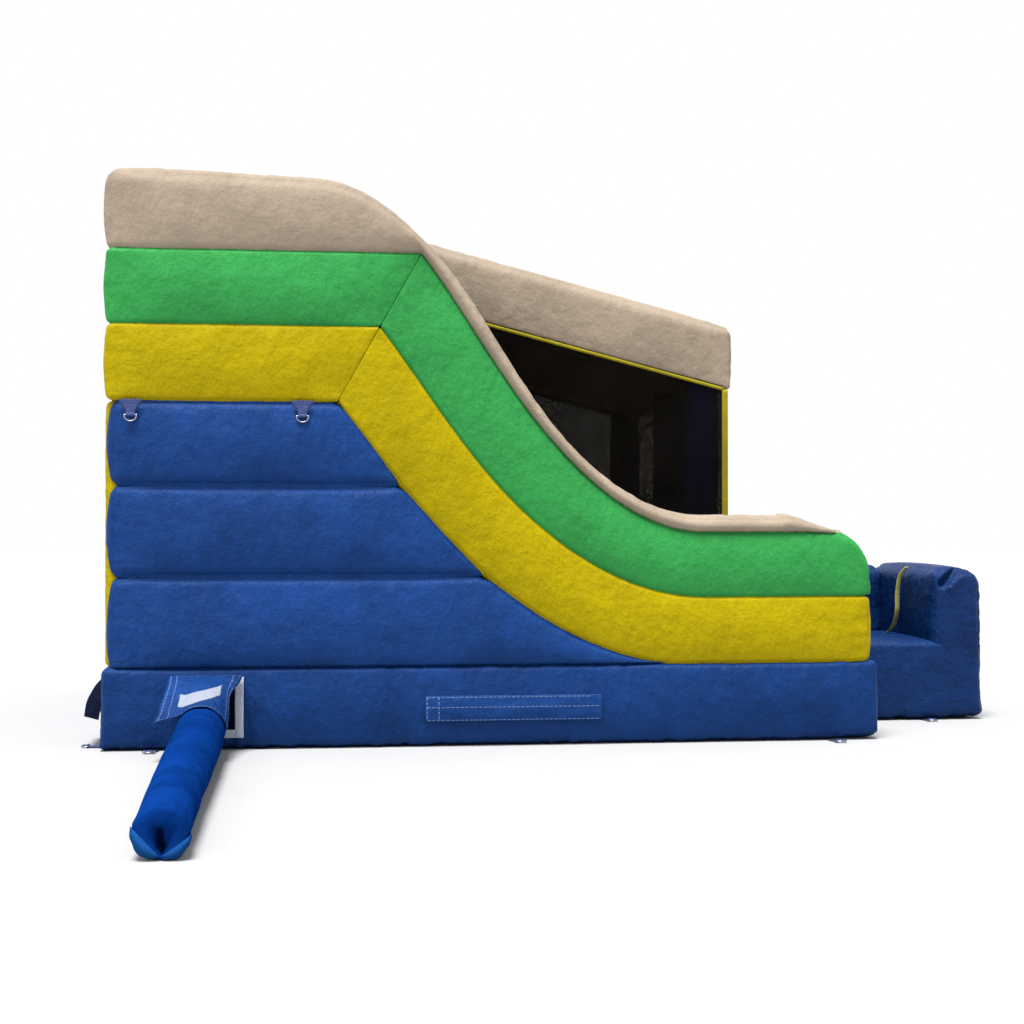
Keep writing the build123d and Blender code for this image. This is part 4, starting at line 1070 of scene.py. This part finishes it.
def net_door():
    """The netting door and its hem."""
    _, (n0, n1), (z0, z1) = limits("net_door")
    a, v = np.meshgrid(np.linspace(n0, n1, 40), np.linspace(z0, z1, 50), indexing="ij")
    grid = np.stack([FRONT_NET_S + 0.001 * noise(np.stack([a, v], -1), 0.3, 381), a, v], -1)
    door = piece("net_door_panel", grid_sheet(grid), NET_FINE, body="net_door",
                 replaces=["net_door"], closed=False)
    hem = []
    for n in (n0 + 0.015, n1 - 0.015):
        hem.append(ribbon(line((FRONT_NET_S, n, z0), (FRONT_NET_S, n, z1), count=30), (0, 1, 0), 0.03, 0.003))
    for z in (z0 + 0.015, z1 - 0.015):
        run = line((FRONT_NET_S, n0 + 0.03, z), (FRONT_NET_S, n1 - 0.03, z), count=20)
        hem.append(ribbon(run, (0, 0, 1), 0.03, 0.003))
    hem = piece("net_door_hem", joined(*hem), WEB_BLUE, body="net_door")


TRIM_W = 0.045
NEAR_SLOPE = 0.2564  # how the near trim leans across its run


def near_piping():
    """The trim along the near net's top and up its front edge."""
    s, n = np.linspace(2.76, 4.885, 80), INNER_N0 + 0.001
    under = np.stack([s, np.full(80, n), roof_z(s) - BEAM_H - 0.010], -1)
    upright = line((4.900, n, 1.70), (4.900, n, float(roof_z(4.900)) - BEAM_H - 0.01))
    trim = joined(
        ribbon(under, (NEAR_SLOPE, 0, 1), 0.028, 0.006, crown=0.003),
        ribbon(upright, (1, 0, 0), 0.050, 0.006, crown=0.003),
    )
    piece("near_net_piping", trim, TRIM_YELLOW, replaces=["near_net_trim"])


def back_piping():
    """The trims round the far and rear nets."""
    far_n, rear_s = 4.884, -0.004
    s = np.linspace(0.02, 4.88, 120)
    runs = [(np.stack([s, np.full(120, far_n), roof_z(s) - BEAM_H - 0.022], -1), (0, 0, 1))]
    runs.append((line((0.02, far_n, 1.30), (4.88, far_n, 1.30), count=100), (0, 0, 1)))
    for s1 in (0.0425, 4.8575):
        runs.append((line((s1, far_n, 1.28), (s1, far_n, float(roof_z(s1)) - BEAM_H)), (1, 0, 0)))
    for z in (1.5225, 3.7475):
        runs.append((line((rear_s, 2.602, z), (rear_s, 4.87, z), count=60), (0, 0, 1)))
    for n in (2.6245, 4.8475):
        runs.append((line((rear_s, n, 1.50), (rear_s, n, 3.77), count=60), (0, 1, 0)))
    trims = joined(*(ribbon(run, across, TRIM_W, 0.005, crown=0.002) for run, across in runs))
    piece("back_net_piping", trims, TRIM_YELLOW, replaces=["back_net_trims"])


def front_arch():
    """The arched trim on the front net."""
    _, (n0, n1), (z0, z1) = limits("front_arch_trim")
    half, r = TRIM_W / 2, 0.53 - TRIM_W / 2
    n0, n1, z1 = n0 + half, n1 - half, z1 - half
    outline = np.concatenate([
        line((n0, z0), (n0, z1 - r)),
        arc((n0 + r, z1 - r), r, 180, 90)[1:],
        line((n0 + r, z1), (n1 - r, z1))[1:],
        arc((n1 - r, z1 - r), r, 90, 0)[1:],
        line((n1, z1 - r), (n1, z0))[1:],
    ])
    path = np.stack([np.full(len(outline), 4.886), outline[:, 0], outline[:, 1]], -1)
    side = np.gradient(outline, axis=0)
    across = np.stack([np.zeros(len(side)), -side[:, 1], side[:, 0]], -1)
    trim = ribbon(path, across, TRIM_W, 0.016, crown=0.004)
    piece("front_arch_piping", trim, TRIM_OLIVE, replaces=["front_arch_trim"])


def grab_strap():
    """The slack webbing strap on the inside of the entrance's front wall."""
    points = np.array([
        (6.71, 1.775, 1.292), (6.640, 1.79, 1.22), (6.622, 1.81, 1.05),
        (6.625, 1.81, 0.88), (6.612, 1.88, 0.74), (6.57, 1.95, 0.680),
    ])
    path = even(points, 60)
    for k in range(3):
        path[:, k] = np.convolve(np.pad(path[:, k], 5, mode="edge"), np.ones(11) / 11, "valid")
    strap = ribbon(path, (0.9, 0.4, 0.1), 0.054, 0.006, crown=0.002)
    piece("entrance_grab_strap", strap, WEB_YELLOW, replaces=["entrance_strap"])


net_door()
near_piping()
back_piping()
front_arch()
grab_strap()

# ---------------------------------------------------------------- blower sleeve
SLEEVE = np.array([
    # n, height of the middle, radius
    (-BASE_OUT, 0.262, 0.165),
    (-0.9, 0.186, 0.170),
    (-2.2, 0.163, 0.160),
    (-3.5, 0.148, 0.144),
    (-3.80, 0.142, 0.137),
    (-3.88, 0.136, 0.132),
])
SLEEVE_S = 0.73
SLEEVE_END = SLEEVE[-1, 0]


def sleeve_at(n):
    """Height of the sleeve's middle and its radius at n."""
    return np.interp(-n, -SLEEVE[:, 0], SLEEVE[:, 1]), np.interp(-n, -SLEEVE[:, 0], SLEEVE[:, 2])


def sleeve_drift(n):
    """How far the sleeve wanders sideways at n."""
    return 0.055 * np.clip(-n / 3.9, 0, 1) ** 2


END_TILT = 0.15  # the folded end lies rolled over by this angle


def tilted(x, z):
    """A place in the sleeve's folded end, rolled over by its tilt."""
    return x * math.cos(END_TILT) + z * math.sin(END_TILT), z * math.cos(END_TILT) - x * math.sin(END_TILT)


def end_outline(angle, radius):
    """The sleeve's folded end: a low arch over two side corners, and a squarer foot."""
    c, s = np.cos(angle), np.sin(angle)
    corner = np.exp(-(((np.abs(c) - 1) / 0.06) ** 2)) * 0.016
    foot = s < 0
    side = np.where(foot, np.sign(c) * np.abs(c) ** 0.55, c)
    height = np.where(foot, -(np.abs(s) ** 0.75), s * 0.97)
    return tilted((radius + corner) * side, radius * height)


def sleeve_tube():
    """An inflated tube, crumpled and gathered at its seam, whose closed end is folded like a parcel's."""
    rows, sides = 190, 72
    n = np.linspace(SLEEVE[0, 0], SLEEVE_END, rows)
    mid, radius = sleeve_at(n)
    mid = np.convolve(np.pad(mid, 7, mode="edge"), np.ones(15) / 15, "valid")
    angle = np.linspace(0, 2 * np.pi, sides, endpoint=False)
    nn, aa = np.meshgrid(n, angle, indexing="ij")
    spot = np.stack([np.cos(aa) * 0.16, np.sin(aa) * 0.16, nn], -1)
    gather = np.exp(-(nn - SLEEVE_END) / 0.16) * 0.6 + np.exp(-(n[0] - nn) / 0.14)
    rr = radius[:, None] + 0.004 * noise(spot, (0.10, 0.10, 0.22), 401)
    rr = rr + 0.008 * gather * noise(spot, (0.05, 0.05, 0.5), 402)
    rr = rr - 0.004 * np.abs(noise(spot, (0.09, 0.09, 0.30), 403)) ** 2
    near_end = np.clip((SLEEVE_END + 0.22 - nn) / 0.22, 0, 1) ** 1.5
    across, up = end_outline(aa, rr)
    x = (1 - near_end) * rr * np.cos(aa) + near_end * across
    z = (1 - near_end) * rr * np.sin(aa) + near_end * up
    ring = np.stack([SLEEVE_S + sleeve_drift(nn) + x, nn, np.maximum(mid[:, None] + z, 0.001)], -1)
    points = [ring.reshape(-1, 3)]
    last, rings = ring[-1], 26
    foot = np.array([SLEEVE_S + sleeve_drift(SLEEVE_END), SLEEVE_END, 0.020])
    for q in range(1, rings + 1):
        f = q / rings
        inner = last + (foot - last) * f
        upper = np.clip(np.sin(angle) * 1.4 + 0.10, 0, 1)
        swell = 0.034 * np.sqrt(np.clip(1 - (2 * min(f, 0.5) - 1) ** 2, 0, 1))
        tuck = 0.085 * upper * f**1.5
        left, height = inner[:, 0] - foot[0], inner[:, 2]
        slit = np.exp(-(((left + 0.10 * (height - 0.02)) / 0.016) ** 2))
        slit = slit * np.clip((height - 0.02) / 0.03, 0, 1) * np.clip((0.165 - height) / 0.03, 0, 1)
        inner[:, 1] = SLEEVE_END - swell + tuck + 0.070 * slit
        points.append(inner)
    points.append(foot[None] + np.array([[0, 0.05, 0]]))
    tip = (rows + rings) * sides
    point = [[tip - sides + j, tip - sides + (j + 1) % sides, tip] for j in range(sides)]
    return np.concatenate(points), ring_faces(rows + rings, sides) + point


def sleeve_corner(side):
    """A triangular fold from one side corner of the sleeve's end down to the foot."""
    u, v = np.meshgrid(np.linspace(0, 1, 18), np.linspace(0, 1, 14), indexing="ij")
    mid, radius = sleeve_at(SLEEVE_END)
    end_s = SLEEVE_S + sleeve_drift(SLEEVE_END)
    foot = np.array([end_s + side * 0.006, 0.024])
    angle = np.radians(6 - 90 * v)
    if side < 0:
        angle = np.pi - angle
    across, up = end_outline(angle, radius + 0.003)
    rim = np.stack([end_s + across, mid + up], -1)
    corner = rim[:, :1]
    edge = corner + (foot - corner) * u[..., None]
    low = np.stack([np.interp(u, np.linspace(0, 1, v.shape[1]), rim[0, :, k]) for k in range(2)], -1)
    flat = edge + (low - edge) * v[..., None]
    bulge = 0.020 * np.sin(np.pi * v) * np.sin(np.pi * np.clip(u, 0.02, 0.98)) + 0.004
    n = SLEEVE_END - 0.046 - bulge + 0.030 * v**2 + 0.018 * (1 - v) * (1 - u) ** 2
    grid = np.stack([flat[..., 0], n, np.maximum(flat[..., 1], 0.003)], -1)
    return thick_sheet(grid, (0, 1, 0), 0.006)


chamber("blower_sleeve_tube", sleeve_tube(), "blower_sleeve", BLUE_GLOSS)
corners = joined(sleeve_corner(-1), sleeve_corner(1))
# the end's fold flaps take the paler, painted-light copy of the sleeve's vinyl
piece("blower_sleeve_end_folds", corners, BLUE_GLOSS_LIT)

# ---------------------------------------------------------------- stitching
def stitches(path, across, length=0.026, gap=0.009, width=0.006, height=0.0012):
    """A row of raised stitches along path (N, 3); across is the direction of their width."""
    path = np.array(path, float)
    total = lengths(path)[-1]
    made, start = [], gap / 2
    while start + length < total:
        run = at_lengths(path, np.linspace(start, start + length, 3))
        made.append(ribbon(run, across, width, height))
        start += length + gap
    return joined(*made)


def grid_row(points, a, t):
    """A path across a grid of points: a and t are where it runs, each from 0 to 1 along the grid's sides."""
    x, y = (
        np.linspace(*np.broadcast_to(ends, 2), 60) * (size - 1) for ends, size in zip((a, t), points.shape)
    )
    x0, y0 = np.minimum(x.astype(int), points.shape[0] - 2), np.minimum(y.astype(int), points.shape[1] - 2)
    fx, fy = (x - x0)[:, None], (y - y0)[:, None]
    return (
        (1 - fx) * (1 - fy) * points[x0, y0] + fx * (1 - fy) * points[x0 + 1, y0]
        + (1 - fx) * fy * points[x0, y0 + 1] + fx * fy * points[x0 + 1, y0 + 1]
    )


# ---------------------------------------------------------------- blower port, zipper and rear port
bpy.context.view_layer.update()
BASE_TREE = BVHTree.FromObject(base_obj, bpy.context.evaluated_depsgraph_get())


def on_base(ss, zz, off):
    """Points on the base course's outer face at ss and zz, moved off it."""
    off = np.broadcast_to(off, ss.shape)
    made = np.zeros((*ss.shape, 3))
    for index in np.ndindex(*ss.shape):
        s, z = float(ss[index]), float(zz[index])
        hit, _, _, _ = BASE_TREE.ray_cast(Vector((s - MIDDLE[0], -9.0, z)), Vector((0, 1, 0)))
        n = hit.y + MIDDLE[1] if hit is not None else -BASE_OUT
        made[index] = (s, n - off[index], z)
    return made


def base_slab(s_range, z_range, off, thickness, cells=(30, 16)):
    """A slab that lies on the base course's outer face."""
    ss, zz = np.meshgrid(np.linspace(*s_range, cells[0]), np.linspace(*z_range, cells[1]), indexing="ij")
    return thick_sheet(on_base(ss, zz, off), (0, -1, 0), thickness)


PORT_S, _, PORT_Z = limits("port_border")
BORDER = 0.062
FLAP_W, FLAP_L = PORT_S[1] - PORT_S[0], 0.62
FLAP_SEAM_Z = 0.550
FLAP_SEAM_N = -BASE_OUT - 0.008


def port_border():
    """The hook tape round the port, and a dark sheet of painted shade for the mouth inside it."""
    (s0, s1), (z0, z1) = PORT_S, PORT_Z
    tape = joined(
        base_slab((s0, s0 + BORDER), (z0 + 0.20, z1), 0.001, 0.004, (8, 30)),
        base_slab((s1 - BORDER, s1), (z0, z1), 0.001, 0.004, (8, 30)),
        base_slab((SLEEVE_S - 0.08, s1 - BORDER), (z0, z0 + BORDER), 0.001, 0.004, (30, 8)),
        base_slab((s0 + BORDER, s1 - BORDER), (z1 - BORDER, z1), 0.001, 0.004, (30, 8)),
    )
    piece("port_hook_tape", tape, LOOP_TAPE, replaces=["port_border"])
    # painted shade: a dark sheet on the wall standing for the shadowed inside of the port
    mouth = base_slab((SLEEVE_S - 0.13, s1 - BORDER), (z0 + BORDER, z1 - BORDER), 0.0005, 0.001, (20, 20))
    piece("port_mouth_painted_shade", mouth, SHADOW_CLOTH)


def flap_points(a, t, off=0.0):
    """Where the port flap lies: a across it from its middle, t down it from its seam, off above it."""
    w = np.clip(t / 0.50, 0, 1) ** 1.15
    n = FLAP_SEAM_N - t * 0.97
    middle, radius = sleeve_at(n)
    radius = radius + 0.010
    hug = np.where(a < 0, 0.75, 1.35)  # how far round the sleeve the cloth clings on each side
    tilt = np.where(a < 0, 0.50, 1.30)  # how steeply it hangs beyond that
    wrapped = np.minimum(np.abs(a), hug * radius) / radius
    beyond = np.maximum(np.abs(a) - hug * radius, 0)
    reach = radius * np.sin(wrapped) + beyond * np.cos(tilt)
    reach = reach + np.where(a < 0, 0.70 * beyond * np.clip(t / FLAP_L, 0, 1), 0)
    lying = middle + radius * np.cos(wrapped) - beyond * np.sin(tilt)
    height = FLAP_SEAM_Z + (lying - FLAP_SEAM_Z) * w
    w_side = np.clip(t / 0.24, 0, 1)
    side = a * np.where(a < 0, 1.03, 1) + (np.sign(a) * reach - a) * w_side
    drop = 0.020 * np.clip(-a / FLAP_W, 0, 1) * w
    crumple = 0.0050 * noise(np.stack([a, t], -1), (0.06, 0.09), 411) * np.clip(t / 0.05, 0, 1)
    corner = np.clip((a - 0.12) / 0.14, 0, 1) * np.exp(-(((t - 0.09) / 0.06) ** 2))
    crumple = crumple + 0.030 * corner * noise(np.stack([a, t], -1), (0.045, 0.05), 412)
    loose = np.clip(beyond / 0.06, 0, 1) * w
    crumple = crumple + 0.014 * loose * noise(np.stack([a, t], -1), (0.06, 0.07), 413)
    return np.stack([SLEEVE_S + side, n, height - drop + crumple + off], -1)


def lying_sheet(points, thickness):
    """A sheet thickened upwards, at right angles to itself."""
    n = np.cross(np.gradient(points, axis=0), np.gradient(points, axis=1))
    n = n * np.where(n[..., 2:] < 0, -1, 1)
    n = n / np.maximum(np.linalg.norm(n, axis=-1, keepdims=True), 1e-9)
    return thick_sheet(points, n, thickness)


def port_flap():
    """The cover over the port: a sheet sewn along its top, draped over the sleeve, with a blank patch."""
    a, t = np.meshgrid(np.linspace(-FLAP_W / 2, FLAP_W / 2, 70), np.linspace(0, FLAP_L, 60), indexing="ij")
    flap = piece("port_cover_flap", lying_sheet(flap_points(a, t), 0.003), BLUE_PALE,
                 body="port_flap", replaces=["port_flap"])
    pa, pt = np.meshgrid(np.linspace(-0.165, 0.13, 30), np.linspace(0.23, 0.38, 18), indexing="ij")
    pt = pt - 0.50 * pa + 0.08 * (1 - (pa / 0.15) ** 2)
    patch = piece("port_blank_patch", lying_sheet(flap_points(pa, pt, 0.0036), 0.0012), PATCH,
                  body="port_flap", replaces=["port_patch"])
    top = flap_points(a, t, 0.0038)
    rows = []
    for inset in (0.035, 0.115):
        rows.append(stitches(grid_row(top, inset, (0.02, 0.98)), (1, 0, 0)))
        rows.append(stitches(grid_row(top, 1 - inset, (0.02, 0.98)), (1, 0, 0)))
    for down in (0.035, 0.90, 0.965):
        rows.append(stitches(grid_row(top, (0.02, 0.98), down), (0, 1, 0)))
    hem = piece("port_flap_stitches", joined(*rows), THREAD, body="port_flap")


def zipper():
    """The deflation zipper's tape and teeth, and the stitched cover over it."""
    (s0, s1), _, (z0, z1) = limits("zipper_tape")
    tape = base_slab((s0, s1), (z0, z1), 0.0015, 0.0015, (60, 8))
    piece("zipper_tape_cloth", tape, ZIP_TAPE, replaces=["zipper_tape"])
    middle = (z0 + z1) / 2
    ss = np.linspace(s0 + 0.01, s1 - 0.01, 120)[:, None]
    row_of_teeth = on_base(ss, middle + 0 * ss, 0.0045)[:, 0]
    teeth = stitches(row_of_teeth, (0, 0, 1), length=0.005, gap=0.003, width=0.009, height=0.003)
    piece("zipper_teeth", teeth, ZIP_METAL)
    (s0, s1), _, (z0, z1) = limits("zipper_cover")
    ss, zz = np.meshgrid(np.linspace(s0, s1, 110), np.linspace(z0, z1, 20), indexing="ij")
    down = (z1 - zz) / (z1 - z0)
    hump = 0.003 + 0.012 * np.sin(np.clip(down, 0, 1) * math.pi * 0.8) ** 0.8
    hump = hump + 0.004 * noise(np.stack([ss, zz], -1), (0.16, 0.07), 421) * np.clip(down * 4, 0, 1)
    points = on_base(ss, zz, hump)
    cover = piece("zipper_cover_flap", thick_sheet(points, (0, -1, 0), 0.0025), BLUE,
                  body="zipper_cover", replaces=["zipper_cover"])
    top = points - np.array([0, 0.0034, 0])
    rows = [
        stitches(grid_row(top, (0.01, 0.99), 0.05), (0, 0, 1), width=0.004),
        stitches(grid_row(top, (0.01, 0.99), 0.55), (0, 0, 1)),
        stitches(grid_row(top, (0.01, 0.93), 0.93), (0, 0, 1)),
        stitches(grid_row(top, 0.012, (0.05, 0.97)), (1, 0, 0)),
        stitches(grid_row(top, 0.078, (0.05, 0.97)), (1, 0, 0)),
    ]
    hem = piece("zipper_cover_stitches", joined(*rows), THREAD, body="zipper_cover")


REAR_PORT_N = 0.5


def rear_port():
    """The tied-off sleeve at the rear and the flap over it."""
    rows, sides = 40, 48
    q = np.linspace(0, 1, rows)
    s = -BASE_OUT - 0.062 * q
    radius = 0.105 * np.where(q < 0.55, 1 - 0.10 * q, 0.945 - 1.9 * (q - 0.55) ** 1.1)
    middle = 0.150 - 0.018 * q
    angle = np.linspace(0, 2 * np.pi, sides, endpoint=False)
    pleat = 1 + 0.13 * np.clip((q - 0.35) / 0.4, 0, 1)[:, None] * np.sin(angle * 11 + 2 * np.sin(angle * 3))
    rr = np.maximum(radius, 0.018)[:, None] * pleat
    grid = np.stack([
        np.broadcast_to(s[:, None], rr.shape),
        REAR_PORT_N + rr * np.cos(angle),
        middle[:, None] + rr * np.sin(angle),
    ], -1)
    ends = [list(range(sides)), list(range((rows - 1) * sides, rows * sides))]
    tied = grid.reshape(-1, 3), ring_faces(rows, sides) + ends
    piece("rear_sleeve_tied", tied, BLUE_GLOSS, replaces=["rear_sleeve"])
    lift = math.radians(27)
    a, t = np.meshgrid(np.linspace(-0.36, 0.36, 60), np.linspace(0, 0.34, 30), indexing="ij")
    rim = np.clip(np.abs(a) - 0.24, 0, 1)  # the sides turn in towards the wall
    reach = np.minimum(rim, 0.02 + 0.62 * t * math.sin(lift) * 1.3)
    curl = 0.034 * np.sin(t / 0.34 * math.pi) + 0.006 * noise(np.stack([a, t], -1), (0.1, 0.08), 431)
    narrow = 1 - 0.25 * np.clip(t / 0.34 - 0.6, 0, 1)
    out = t * math.sin(lift) + curl * math.cos(lift) - reach * math.cos(lift)
    points = np.stack([
        -BASE_OUT - 0.004 - np.maximum(out, 0.002 * (1 + rim)),
        REAR_PORT_N + np.sign(a) * (np.minimum(np.abs(a), 0.24) + 0.15 * reach) * narrow,
        0.53 - t * math.cos(lift) + curl * math.sin(lift) - reach * math.sin(lift) * 0.5,
    ], -1)
    normal = (-math.cos(lift), 0, math.sin(lift))
    flap = piece("rear_port_cover_flap", thick_sheet(points, normal, 0.003), BLUE_NIGHT,
                 body="rear_port_flap", replaces=["rear_port_flap"])
    top = points + np.array(normal) * 0.0038
    rows = [stitches(grid_row(top, inset, (0.02, 0.98)), (0, 1, 0)) for inset in (0.30, 0.70)]
    rows.append(stitches(grid_row(top, (0.04, 0.96), 0.05), (1, 0, 1)))
    hem = piece("rear_flap_stitches", joined(*rows), THREAD, body="rear_port_flap")


port_border()
port_flap()
zipper()
rear_port()

# ---------------------------------------------------------------- anchor tabs
BAR_LIFT = 0.013
TIP_W = 0.070
TABS = {
    # place of the root, direction of the ring's bar, outward normal, length, width at the root
    "near_upper_rear": ((0.18, -0.009, DECK_Z - 0.02), (-1, 0, 0), (0, -1, 0), 0.095, 0.160),
    "near_upper_front": ((1.42, -0.009, DECK_Z - 0.02), (-1, 0, 0), (0, -1, 0), 0.095, 0.160),
    "near_ground_rear": ((0.33, -BASE_OUT, 0.001), (-1, 0, 0), (0, 0, 1), 0.095, 0.120),
    "near_ground_front": ((5.46, -BASE_OUT, 0.001), (-1, 0, 0), (0, 0, 1), 0.095, 0.120),
    "rear_ground_near": ((-BASE_OUT, 0.26, 0.001), (0, 1, 0), (0, 0, 1), 0.130, 0.120),
    "far_ground_rear": ((0.33, FAR_N + BASE_OUT, 0.001), (1, 0, 0), (0, 0, 1), 0.095, 0.120),
    "far_ground_front": ((4.60, FAR_N + BASE_OUT, 0.001), (1, 0, 0), (0, 0, 1), 0.095, 0.120),
    "step_ground": ((6.65, INNER_N0, 0.001), (-1, 0, 0), (0, 0, 1), 0.095, 0.120),
}


def anchor_tab(place, bar, normal, length, root_w):
    """Webbing from the seam round the ring's bar and back on itself, and its box of stitches."""
    bar, normal = np.array(bar, float), np.array(normal, float)
    along = np.cross(normal, bar)
    turn = np.radians(np.linspace(-90, 160, 26))
    loop = np.stack([length + 0.0105 * np.cos(turn), BAR_LIFT + 0.0105 * np.sin(turn)], -1)
    profile = np.concatenate([
        line((-0.02, 0.002), (length - 0.004, 0.0025), count=24), loop,
        line((length - 0.018, 0.010), (0.018, 0.0065), count=22),
    ])
    d = np.clip(profile[:, 0] / length, 0, 1)
    width = root_w + (TIP_W - root_w) * np.clip(d / 0.70, 0, 1)
    width[50:] *= 0.93
    path = np.array(place) + profile[:, :1] * along + profile[:, 1:] * normal
    web = ribbon(path, bar, width, 0.0026)
    box = []
    half = TIP_W * 0.36
    corner = [(0.024, -half), (0.024, half), (0.060, half), (0.060, -half), (0.024, -half), (0.060, half)]
    for (y0, x0), (y1, x1) in zip(corner[:-1], corner[1:]):
        ends = np.array([(y0, x0), (y1, x1)])
        run = np.array(place) + ends[:, :1] * along + ends[:, 1:] * bar + 0.0098 * normal
        side = np.cross(run[1] - run[0], normal)
        box.append(stitches(np.linspace(run[0], run[1], 12), side, length=0.008, gap=0.003, width=0.0025))
    return web, joined(*box)


for group in ("upper", "ground"):
    made = [anchor_tab(*values) for name, values in TABS.items() if group in name]
    piece(f"{group}_tab_webbing", joined(*(web for web, _ in made)), WEB_BLUE,
          replaces=[f"{group}_anchor_tabs"])
    piece(f"{group}_tab_stitches", joined(*(box for _, box in made)), THREAD)

# ---------------------------------------------------------------- baffles inside the base chambers
SKIN_GAP = 0.055


def baffle_row(s, n, height):
    """Upright sheets across a base chamber, a little wavy, which tie its top to its bottom."""
    count = int((s[1] - s[0] - 0.04) / 0.45)
    made = []
    for middle in (s[0] + s[1]) / 2 + (np.arange(count) - (count - 1) / 2) * 0.45:
        across = np.linspace(n[0] + SKIN_GAP, n[1] - SKIN_GAP, 30)
        a, b = np.meshgrid(across, np.linspace(SKIN_GAP, height - SKIN_GAP, 10), indexing="ij")
        wave = 0.004 * noise(np.stack([a, b], -1), (0.3, 0.2), int(middle * 100))
        made.append(thick_sheet(np.stack([middle + wave, a, b], -1), (1, 0, 0), 0.001))
    return made


baffles = [
    *baffle_row((-BASE_OUT, LENGTH + BASE_OUT), (0.0, INNER_N1), BASE_H),
    *baffle_row((-BASE_OUT, HOUSE_L), (INNER_N1, FAR_N), BASE_H),
    *baffle_row((LENGTH + BASE_OUT, step_s1), (step_n0, step_n1), step_z),
]
piece("baffle_sheets", joined(*baffles), BAFFLE, replaces=["floor_baffles"])

# ---------------------------------------------------------------- CAD nodes that stay
for name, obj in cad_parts.items():
    if name.startswith("d_ring") or name == "zipper_slider":
        obj.data.materials.clear()
        obj.data.materials.append(ZIP_METAL if name == "zipper_slider" else STEEL)

# ---------------------------------------------------------------- floor, light and camera
def placed(name, data):
    """An object of the stage."""
    obj = bpy.data.objects.new(name, data)
    bpy.context.scene.collection.objects.link(obj)
    return obj


floor_mesh = bpy.data.meshes.new("studio_floor")
REACH = 120.0
corners = [(-REACH, -REACH, 0), (REACH, -REACH, 0), (REACH, REACH, 0), (-REACH, REACH, 0)]
floor_mesh.from_pydata(corners, [], [(0, 1, 2, 3)])
floor_obj = placed("studio_floor", floor_mesh)
floor_look = Look("studio_floor")
speck = floor_look.mix(floor_look.noise(1.5, 2.0), (0.345, 0.345, 0.35), (0.36, 0.36, 0.36))
floor_look.surface(Base_Color=speck, Roughness=0.95, Specular_IOR_Level=0.0)
floor_mesh.materials.append(floor_look.made)

world = bpy.data.worlds.new("studio")
bpy.context.scene.world = world
world.use_nodes = True
world.node_tree.nodes["Background"].inputs["Color"].default_value = (1, 1, 1, 1)
world.node_tree.nodes["Background"].inputs["Strength"].default_value = 1.0


def softbox(name, place, target, size, power):
    """A rectangular light at a place, turned to a target."""
    light = bpy.data.lights.new(name, "AREA")
    light.shape = "RECTANGLE"
    light.size, light.size_y = size
    light.energy = power
    obj = placed(name, light)
    obj.location = place
    obj.rotation_euler = (Vector(target) - Vector(place)).to_track_quat("-Z", "Y").to_euler()


def sun(name, towards, angle, strength):
    """A distant light of a given angular width, shining along a direction."""
    light = bpy.data.lights.new(name, "SUN")
    light.angle = math.radians(angle)
    light.energy = strength
    placed(name, light).rotation_euler = Vector(towards).to_track_quat("-Z", "Y").to_euler()


sun("key", (0.12, 0.26, -0.958), 22, 6.6)
softbox("glint", (-7.0, -12.0, 5.0), (0, -2, 1.0), (2.0, 1.4), 160)

camera_data = bpy.data.cameras.new("camera")
camera = placed("camera", camera_data)
camera_data.sensor_width = 36.0
camera_data.lens = 56.25
camera.location = (-1.335, -14.31, 1.62)
camera.rotation_euler = Vector((0.1177, 0.993, 0.0103)).to_track_quat("-Z", "Y").to_euler()
camera_data.clip_end = 400
bpy.context.scene.camera = camera
bpy.context.scene.view_settings.view_transform = "Standard"
